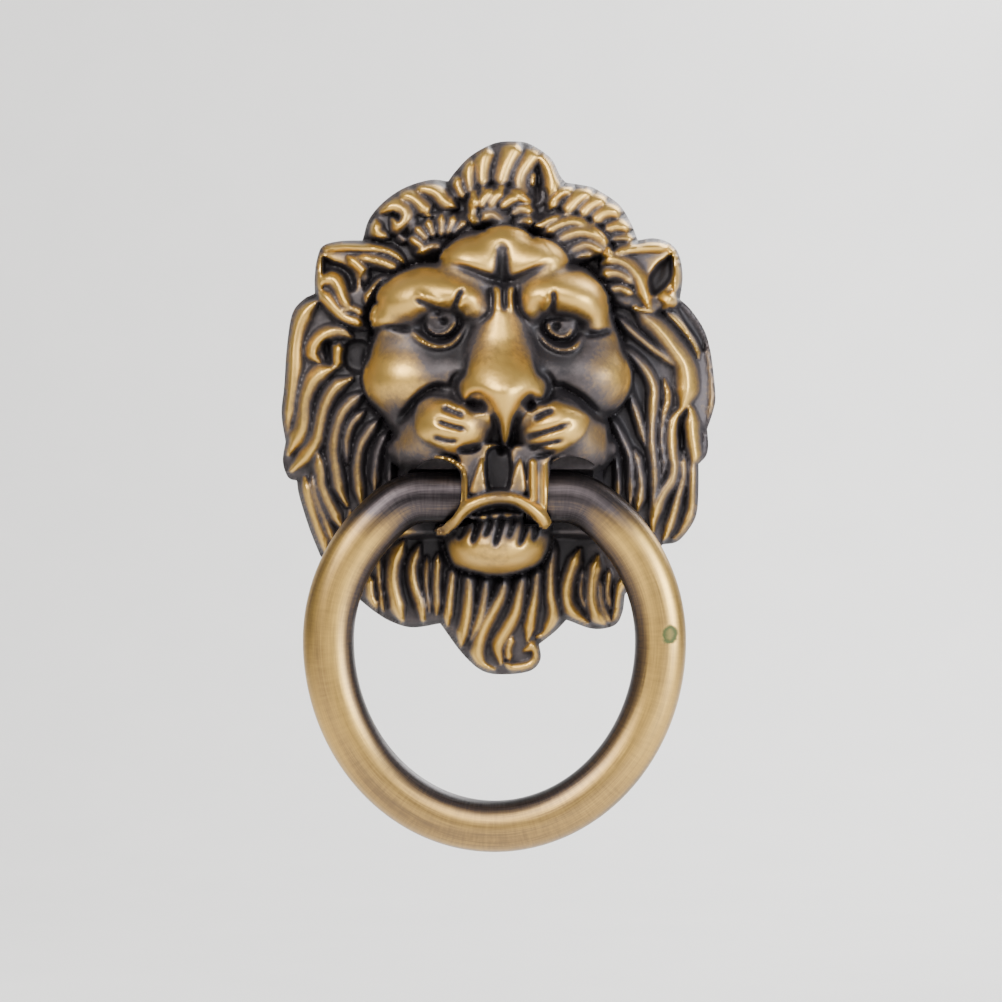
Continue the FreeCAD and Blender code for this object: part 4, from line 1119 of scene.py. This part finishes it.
def ring_tree(inputs):
    """Rod along a path: straight ends, bends, the arc of a circle and half an oval."""
    tree, g, given = geometry_tree("ring_rod", inputs)
    radius = given["Width"] / 2
    centre = given["Crown"] - radius
    bend = given["Bend"]
    bend_x = ((radius - bend) ** 2.0 - (centre + bend) ** 2.0) ** 0.5
    touch = (0 - bend - centre).step("ARCTAN2", bend_x)
    line = g.out("GeometryNodeCurvePrimitiveLine", {"Start": (-1, 0, 0), "End": (1, 0, 0)})
    line = g.out("GeometryNodeResampleCurve", {"Curve": line, "Count": given["Rings"]})
    v = g.out("ShaderNodeSeparateXYZ", {"Vector": g.out("GeometryNodeInputPosition")})
    share = v.step("ABSOLUTE")
    theta = (touch + pi / 2) * (share / ARC_END).clamped() - pi / 2
    phi = (pi / 2 - touch) * ((share - ARC_END) / (BEND_END - ARC_END)).clamped() + touch
    on_end = ((share - BEND_END) / (1 - BEND_END)).clamped()
    lower = theta.step("LESS_THAN", 0.0)
    tall = lower * (given["Fall"] + centre - radius) + radius
    x = radius * theta.step("COSINE") + bend * (phi.step("COSINE") - touch.step("COSINE")) \
        + (given["Gap"] / 2 - bend_x) * on_end
    z = centre + tall * theta.step("SINE") + bend * (phi.step("SINE") - touch.step("SINE"))
    spot = g.vector(X=v.step("SIGN") * x - given["Offset"], Y=0 - given["Pivot height"],
                    Z=z - given["Pivot drop"])
    path = g.out("GeometryNodeSetPosition", {"Geometry": line, "Position": spot})
    path = g.store(path, "along", "FLOAT", g.out("GeometryNodeSplineParameter", socket="Length"))
    circle = g.out("GeometryNodeCurvePrimitiveCircle", {
        "Resolution": given["Sides"], "Radius": given["Tube"] / 2})
    point = g.out("GeometryNodeInputPosition")
    unit = g.out("ShaderNodeVectorMath", {0: point}, {"operation": "NORMALIZE"})
    circle = g.store(circle, "section", "FLOAT_VECTOR", unit)
    shape = g.out("GeometryNodeCurveToMesh", {"Curve": path, "Profile Curve": circle, "Fill Caps": True})
    for side in (-1, 1):
        drill = g.out("GeometryNodeMeshCylinder", {
            "Vertices": 32, "Radius": given["Bore"] / 2, "Depth": given["Bore depth"] * 2})
        place = g.vector(X=given["Gap"] * (side / 2) - given["Offset"], Y=0 - given["Pivot height"],
                         Z=0 - given["Pivot drop"])
        drill = g.moved(drill, Translation=place, Rotation=(0, pi / 2, 0))
        shape = g.boolean("DIFFERENCE", shape, drill)
    shape = g.out("GeometryNodeSetShadeSmooth", {"Geometry": shape})
    close_tree(tree, g, shape, given["Finish"])
    return tree


def screw_tree(inputs):
    """Two slotted screws, one above the other, their heads towards the door."""
    tree, g, given = geometry_tree("keeper_screw_pair", inputs)
    sunk = 0.0002  # how far the shank reaches into the head
    head = g.out("GeometryNodeMeshCone", {
        "Vertices": 28, "Radius Top": given["Head"] * 0.4, "Radius Bottom": given["Head"] / 2,
        "Depth": given["Head height"]})
    shank = g.out("GeometryNodeMeshCylinder", {
        "Vertices": 20, "Radius": given["Shank"] / 2, "Depth": given["Length"] + sunk * 2})
    shank = g.moved(shank, Translation=g.vector(Z=sunk - given["Length"] / 2))
    screw = g.boolean("UNION", None, head, shank)
    size = g.vector(X=given["Head"] * 1.5, Y=given["Slot"], Z=given["Head height"])
    slot = g.out("GeometryNodeMeshCube", {"Size": size})
    slot = g.moved(slot, Translation=g.vector(Z=given["Head height"]))
    screw = g.boolean("DIFFERENCE", screw, slot)
    start = g.vector(Y=given["Seat"], Z=given["Middle"] - given["Pitch"] / 2)
    seats = g.out("GeometryNodeMeshLine", {
        "Count": 2, "Start Location": start, "Offset": g.vector(Z=given["Pitch"])})
    pair = g.out("GeometryNodeInstanceOnPoints", {
        "Points": seats, "Instance": screw, "Rotation": (-pi / 2, 0, 0)})
    close_tree(tree, g, pair, given["Finish"])
    return tree


# ------------------------------------------------------------------ sizes and colours

def length(name, description, default):
    """A size in metres."""
    return FloatProperty(name=name, description=description, default=default, unit="LENGTH",
                         precision=5)


def colour(name, description, default):
    """A colour as three shares of light."""
    return FloatVectorProperty(name=name, description=description, default=default, subtype="COLOR",
                               size=3, min=0, max=1)


class KnockerHeadSizes(bpy.types.PropertyGroup):
    """Sizes of the cast head"""
    grain: length("Grain", "Spacing of the points on the carved front", 0.00025)
    mane_height: length("Mane height", "Crown of the mane over the door", 0.0095)
    lock_lift: length("Lock lift", "Height of a middling lock over its groove", 0.0016)
    groove: length("Groove", "Depth of the grooves under the mane's dome", 0.0016)
    lock_width: FloatProperty(name="Lock width", description="Foot of a lock against its ridge",
                              default=1.7)
    draw: length("Draw", "Height at which the sides would meet", 0.419)


class KnockerRingSizes(bpy.types.PropertyGroup):
    """Sizes of the ring"""
    width: length("Width", "Across the ring, centre line to centre line", 0.0485)
    fall: length("Fall", "Axis to the lowest point of the centre line", 0.04805)
    crown: length("Crown", "How far the arc's circle rises over the axis", 0.00335)
    tube: length("Tube", "Thickness of the ring", 0.0075)
    bend: length("Bend", "Bend between the straight end and the arc", 0.008)
    gap: length("Gap", "Between the ring's two ends", 0.0092)
    offset: length("Side play", "How far the ring hangs to the left", 0.0008)
    bore: length("Bore", "Hole for the pin in each end", 0.0031)
    bore_depth: length("Bore depth", "Depth of that hole", 0.0042)
    sides: IntProperty(name="Sides", description="Faces round the tube", default=56)
    rings: IntProperty(name="Rings", description="Points along the path", default=281)


class KnockerFinishes(bpy.types.PropertyGroup):
    """Colours of the metals"""
    gold: colour("Rubbed brass", "High points", (0.56, 0.352, 0.092))
    brown: colour("Brown brass", "Between high and low", (0.200, 0.130, 0.062))
    patina: colour("Patina", "Low places", (0.060, 0.050, 0.052))
    hollow: colour("Hollow", "Deepest grooves", (0.012, 0.010, 0.012))
    verdigris: colour("Verdigris", "Green spot on the ring", (0.030, 0.055, 0.012))
    plate: colour("Keeper steel", "Pressed keeper plate", (0.36, 0.35, 0.33))
    pin: colour("Pin steel", "Drawn pivot pin", (0.5, 0.5, 0.5))
    zinc: colour("Zinc", "Plating of the keeper screws", (0.55, 0.55, 0.56))


# ------------------------------------------------------------------ operators

class KNOCKER_OT_head(bpy.types.Operator):
    """Carve the lion head, hollow its back and open the mouth for the ring"""
    bl_idname = "knocker.head"
    bl_label = "Lion head"

    def execute(self, context):
        sizes = context.scene.knocker_head_sizes
        ring = context.scene.knocker_ring_sizes
        r, edge_d, rub, shine, edge = carve_relief(sizes)
        head = new_object("lion_head_cast", head_blank(r, edge_d, edge, sizes.draw / MM))
        self.hollow_back(head, ring)
        combine(head, self.openings(ring), "DIFFERENCE")
        self.paint(head, r, rub, shine, sizes.draw / MM)
        head.data.name = "lion_head_cast"
        head.data.shade_smooth()
        head.data.set_sharp_from_angle(angle=radians(42))
        head.data.materials.clear()
        head.data.materials.append(cast_brass(context.scene.knocker_finishes))
        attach(head, "mask")
        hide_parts("lion_head")
        return {"FINISHED"}

    @staticmethod
    def hollow_back(head, ring):
        """Hollow the casting, leaving the saddle and the two bosses standing."""
        py, pz = PIVOT.y / MM, PIVOT.z / MM
        saddle_back = py + ring.tube / 2 / MM + SADDLE_WALL
        hollow = new_object("hollow", bpy.data.meshes.new("hollow"))
        first = egg(*SHALLOW_HOLLOW)
        first.to_mesh(hollow.data)
        first.free()
        hollow.data.transform(Matrix.Scale(MM, 4))
        bay = block((-BAY_HALF, BAY_FRONT, pz - BAY_BELOW), (BAY_HALF, 1, pz + BAY_ABOVE))
        combine(hollow, [egg(*DEEP_HOLLOW), bay], "UNION")
        kept = [block((-SADDLE_HALF, py - 5, pz - SADDLE_TALL),
                      (SADDLE_HALF, saddle_back, pz + SADDLE_TALL))]
        kept += [rod(BOSS_RADIUS, (0, -9, z), (0, 9, z)) for z in (BOSS_HEIGHT, -BOSS_HEIGHT)]
        combine(hollow, kept, "DIFFERENCE")
        apply_tool(head, hollow, "DIFFERENCE")

    @staticmethod
    def openings(ring):
        """Tool bodies for the mouth, the ring's swing, the pin's seat and the tapped holes."""
        py, pz = PIVOT.y / MM, PIVOT.z / MM
        tube = ring.tube / 2 / MM
        saddle_back = py + tube + SADDLE_WALL
        inner = ring.width / 2 / MM - tube
        middle = (ring.crown - ring.width / 2) / MM
        reach = [(x - ARM_SLACK, max(tube, -middle - np.sqrt(inner ** 2 - x ** 2)) + ARM_ROOM)
                 for x in ARM_STOPS]
        arm = [(SADDLE_HALF, 0.01), (SADDLE_HALF, tube + ARM_ROOM), *reach, (reach[-1][0], 0.01)]
        tools = [rod(tube + BARREL_ROOM, (side * SADDLE_HALF, py, pz), (side * BARREL_END, py, pz), 64)
                 for side in (-1, 1)]
        tools += [prism(hole, -40, py) for hole in HOLES]
        tools += [turned([(side * x, rho) for x, rho in arm], *ARM_SWEEP) for side in (-1, 1)]
        tools += [rod(SEAT_RADIUS, (-SEAT_HALF, py, pz), (SEAT_HALF, py, pz)),
                  block((-SEAT_HALF, py, pz - SEAT_RADIUS), (SEAT_HALF, saddle_back + 1, pz + SEAT_RADIUS))]
        tools += [rod(BOSS_BORE, (0, -BOSS_DEPTH, z), (0, 1, z)) for z in (BOSS_HEIGHT, -BOSS_HEIGHT)]
        tools += [rod(TAP_RADIUS, (0, saddle_back - TAP_DEPTH, z), (0, saddle_back + 1, z), 24)
                  for z in (pz + TAP_SPREAD, pz - TAP_SPREAD)]
        return tools

    @staticmethod
    def paint(head, r, rub, shine, draw):
        """Store each point's wear and painted shade; the back and the bores stay dull."""
        count = len(head.data.vertices)
        place = np.empty(count * 3)
        head.data.vertices.foreach_get("co", place)
        x, y, z = (place.reshape(-1, 3) / MM).T
        pull = 1 + y / draw
        centre_x, centre_z = DRAW_CENTRE
        i = np.clip((centre_x + (x - centre_x) / pull - r.xs[0]) / r.step, 0, len(r.xs) - 1.01)
        j = np.clip((centre_z + (z - centre_z) / pull - r.zs[0]) / r.step, 0, len(r.zs) - 1.01)
        a, b = i.astype(int), j.astype(int)
        u, v = i - a, j - b

        def sample(grid):
            return (grid[a, b] * (1 - u) * (1 - v) + grid[a + 1, b] * u * (1 - v)
                    + grid[a, b + 1] * (1 - u) * v + grid[a + 1, b + 1] * u * v)

        front = np.abs(-y - sample(r.h)) < FRONT_SLACK
        wall = (y < WALL_START) & (-y < sample(r.h))
        dull = np.where(wall, WALL_RUB, BACK_RUB)
        for name, values in (("rub", np.where(front, sample(rub), dull)),
                             ("shine", np.where(front, sample(shine), 0.0))):
            layer = head.data.attributes.new(name, "FLOAT", "POINT")
            layer.data.foreach_set("value", values.astype(np.float32))


class KNOCKER_OT_ring(bpy.types.Operator):
    """Bend the ring and bore its two ends for the pin"""
    bl_idname = "knocker.ring"
    bl_label = "Ring"

    def execute(self, context):
        s = context.scene.knocker_ring_sizes
        inputs = {"Width": s.width, "Fall": s.fall, "Crown": s.crown, "Tube": s.tube, "Bend": s.bend,
                  "Gap": s.gap, "Offset": s.offset, "Bore": s.bore, "Bore depth": s.bore_depth,
                  "Pivot height": -PIVOT.y, "Pivot drop": -PIVOT.z, "Sides": s.sides, "Rings": s.rings,
                  "Finish": brushed_brass(context.scene.knocker_finishes)}
        ring = grown("knocker_ring_rod", ring_tree(inputs), inputs)
        ring.data.set_sharp_from_angle(angle=radians(40))
        self.mark_inside(ring, s)
        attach(ring, "ring")
        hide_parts("knocker_ring")
        return {"FINISHED"}

    @staticmethod
    def mark_inside(ring, s):
        """Store how far each point faces the ring's middle, where the material paints shade."""
        count = len(ring.data.vertices)
        place, normal = np.empty(count * 3), np.empty(count * 3)
        ring.data.vertices.foreach_get("co", place)
        ring.data.vertices.foreach_get("normal", normal)
        middle = np.array((-s.offset, PIVOT.z + s.crown - s.width / 2))
        away = place.reshape(-1, 3)[:, (0, 2)] - middle
        away /= np.linalg.norm(away, axis=1)[:, None]
        inward = -(away * normal.reshape(-1, 3)[:, (0, 2)]).sum(1)
        layer = ring.data.attributes.new("inward", "FLOAT", "POINT")
        layer.data.foreach_set("value", inward.astype(np.float32))


class KNOCKER_OT_keeper(bpy.types.Operator):
    """Add the keeper's screws and give the pin and the keeper plate their steel"""
    bl_idname = "knocker.keeper"
    bl_label = "Pin, keeper and screws"

    def execute(self, context):
        finishes = context.scene.knocker_finishes
        low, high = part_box("keeper_screws")
        zinc = steel("zinc_plate", finishes.zinc, 0.35, (1, 1, 1), 1800.0)
        head = 0.0013
        inputs = {"Head": 0.0034, "Head height": head, "Shank": 0.00196, "Length": 0.0042,
                  "Slot": 0.0005, "Pitch": 0.0064, "Seat": high[1] - head,
                  "Middle": (low[2] + high[2]) / 2, "Finish": zinc}
        screws = grown("keeper_screw_pair", screw_tree(inputs), inputs)
        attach(screws, "mask")
        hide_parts("keeper_screws")
        drawn = steel("drawn_steel", finishes.pin, 0.28, (1, 30, 30), 120.0)
        pressed = steel("pressed_steel", finishes.plate, 0.42, (1, 1, 8), 300.0)
        for node, finish in (("pivot_pin", drawn), ("pin_keeper", pressed)):
            part = frame["nodes"][node]
            if not part.data.materials:
                part.data.materials.append(finish)
            for slot in part.material_slots:
                slot.material = finish
        return {"FINISHED"}


# The stage, in metres: the backdrop's near end, bend, floor, bend radius, top and half width.
SWEEP_NEAR, SWEEP_BEND, SWEEP_FLOOR, SWEEP_ROUND, SWEEP_TOP, SWEEP_HALF = -1.6, 0.3, -0.12, 0.25, 1.6, 1.8
CAMERA_PLACE, LENS, FILM_WIDTH = (0.00015, -0.419, -0.01415), 100, 36
AIM = Vector((0, 0, -0.015))
# Lights: name, place, size, power, tint.
LIGHTS = [
    ("soft_box_upper_left", (-0.32, -0.40, 0.34), 0.30, 6.0, (1.0, 0.97, 0.93)),
    ("soft_box_over_camera", (0.10, -0.60, 0.42), 0.40, 4.5, (1.0, 0.98, 0.95)),
    ("soft_box_right", (0.46, -0.28, 0.06), 0.22, 4.0, (0.93, 0.96, 1.0)),
    ("soft_box_low", (-0.25, -0.40, -0.40), 0.25, 1.6, (1.0, 0.98, 0.95)),
    ("soft_box_back", (0.25, 0.36, 0.34), 0.4, 5.0, (1.0, 1.0, 1.0)),
]


class KNOCKER_OT_stage(bpy.types.Operator):
    """Lay the pale backdrop and set the lights and the camera"""
    bl_idname = "knocker.stage"
    bl_label = "Stage"

    def execute(self, context):
        profile = [(SWEEP_NEAR, SWEEP_FLOOR), (SWEEP_BEND, SWEEP_FLOOR)]
        profile += [(SWEEP_BEND + SWEEP_ROUND * np.sin(a), SWEEP_FLOOR + SWEEP_ROUND * (1 - np.cos(a)))
                    for a in np.linspace(0.1, pi / 2, 12)]
        profile += [(SWEEP_BEND + SWEEP_ROUND, SWEEP_TOP)]
        verts = [(x, y, z) for y, z in profile for x in (-SWEEP_HALF, SWEEP_HALF)]
        faces = [(2 * k, 2 * k + 1, 2 * k + 3, 2 * k + 2) for k in range(len(profile) - 1)]
        sweep = new_object("backdrop", new_mesh("backdrop", verts, faces))
        sweep.data.shade_smooth()
        paper, g, shader = finish_material("pale_paper")
        fibre = g.noise(object_place(g), 40.0)
        tone = g.mix(fibre, (0.78, 0.78, 0.77, 1), (0.84, 0.83, 0.82, 1))
        feed(g, shader, Base_Color=tone, Roughness=0.9)
        sweep.data.materials.append(paper)
        world = bpy.data.worlds.new("studio")
        context.scene.world = world
        world.use_nodes = True
        sky = world.node_tree.nodes["Background"]
        sky.inputs["Color"].default_value = (0.93, 0.95, 1.0, 1)
        sky.inputs["Strength"].default_value = 0.22
        for name, place, size, power, tint in LIGHTS:
            lamp = bpy.data.lights.new(name, "AREA")
            lamp.size, lamp.energy, lamp.color = size, power, tint
            lamp.shape = "SQUARE"
            holder = new_object(name, lamp)
            holder.location = place
            holder.rotation_euler = (AIM - Vector(place)).to_track_quat("-Z", "Y").to_euler()
        camera = new_object("camera", bpy.data.cameras.new("camera"))
        camera.data.lens, camera.data.sensor_width = LENS, FILM_WIDTH
        camera.data.clip_start = 0.01
        camera.location = CAMERA_PLACE
        camera.rotation_euler = (pi / 2, 0, 0)
        context.scene.camera = camera
        return {"FINISHED"}


class KNOCKER_PT_panel(bpy.types.Panel):
    """Buttons for the knocker's pieces"""
    bl_label = "Door knocker"
    bl_idname = "KNOCKER_PT_panel"
    bl_space_type = "VIEW_3D"
    bl_region_type = "UI"
    bl_category = "Knocker"

    def draw(self, context):
        for piece in PIECES:
            self.layout.operator(piece.bl_idname)


PIECES = (KNOCKER_OT_head, KNOCKER_OT_ring, KNOCKER_OT_keeper, KNOCKER_OT_stage)
SETTINGS = {"knocker_head_sizes": KnockerHeadSizes, "knocker_ring_sizes": KnockerRingSizes,
            "knocker_finishes": KnockerFinishes}


def register():
    for group in (*SETTINGS.values(), *PIECES, KNOCKER_PT_panel):
        bpy.utils.register_class(group)
    for name, group in SETTINGS.items():
        setattr(bpy.types.Scene, name, PointerProperty(type=group))


def unregister():
    for name in SETTINGS:
        delattr(bpy.types.Scene, name)
    for group in reversed((*SETTINGS.values(), *PIECES, KNOCKER_PT_panel)):
        bpy.utils.unregister_class(group)


def main():
    register()
    for piece in ("head", "ring", "keeper", "stage"):
        getattr(bpy.ops.knocker, piece)()


if __name__ == "__main__":
    main()
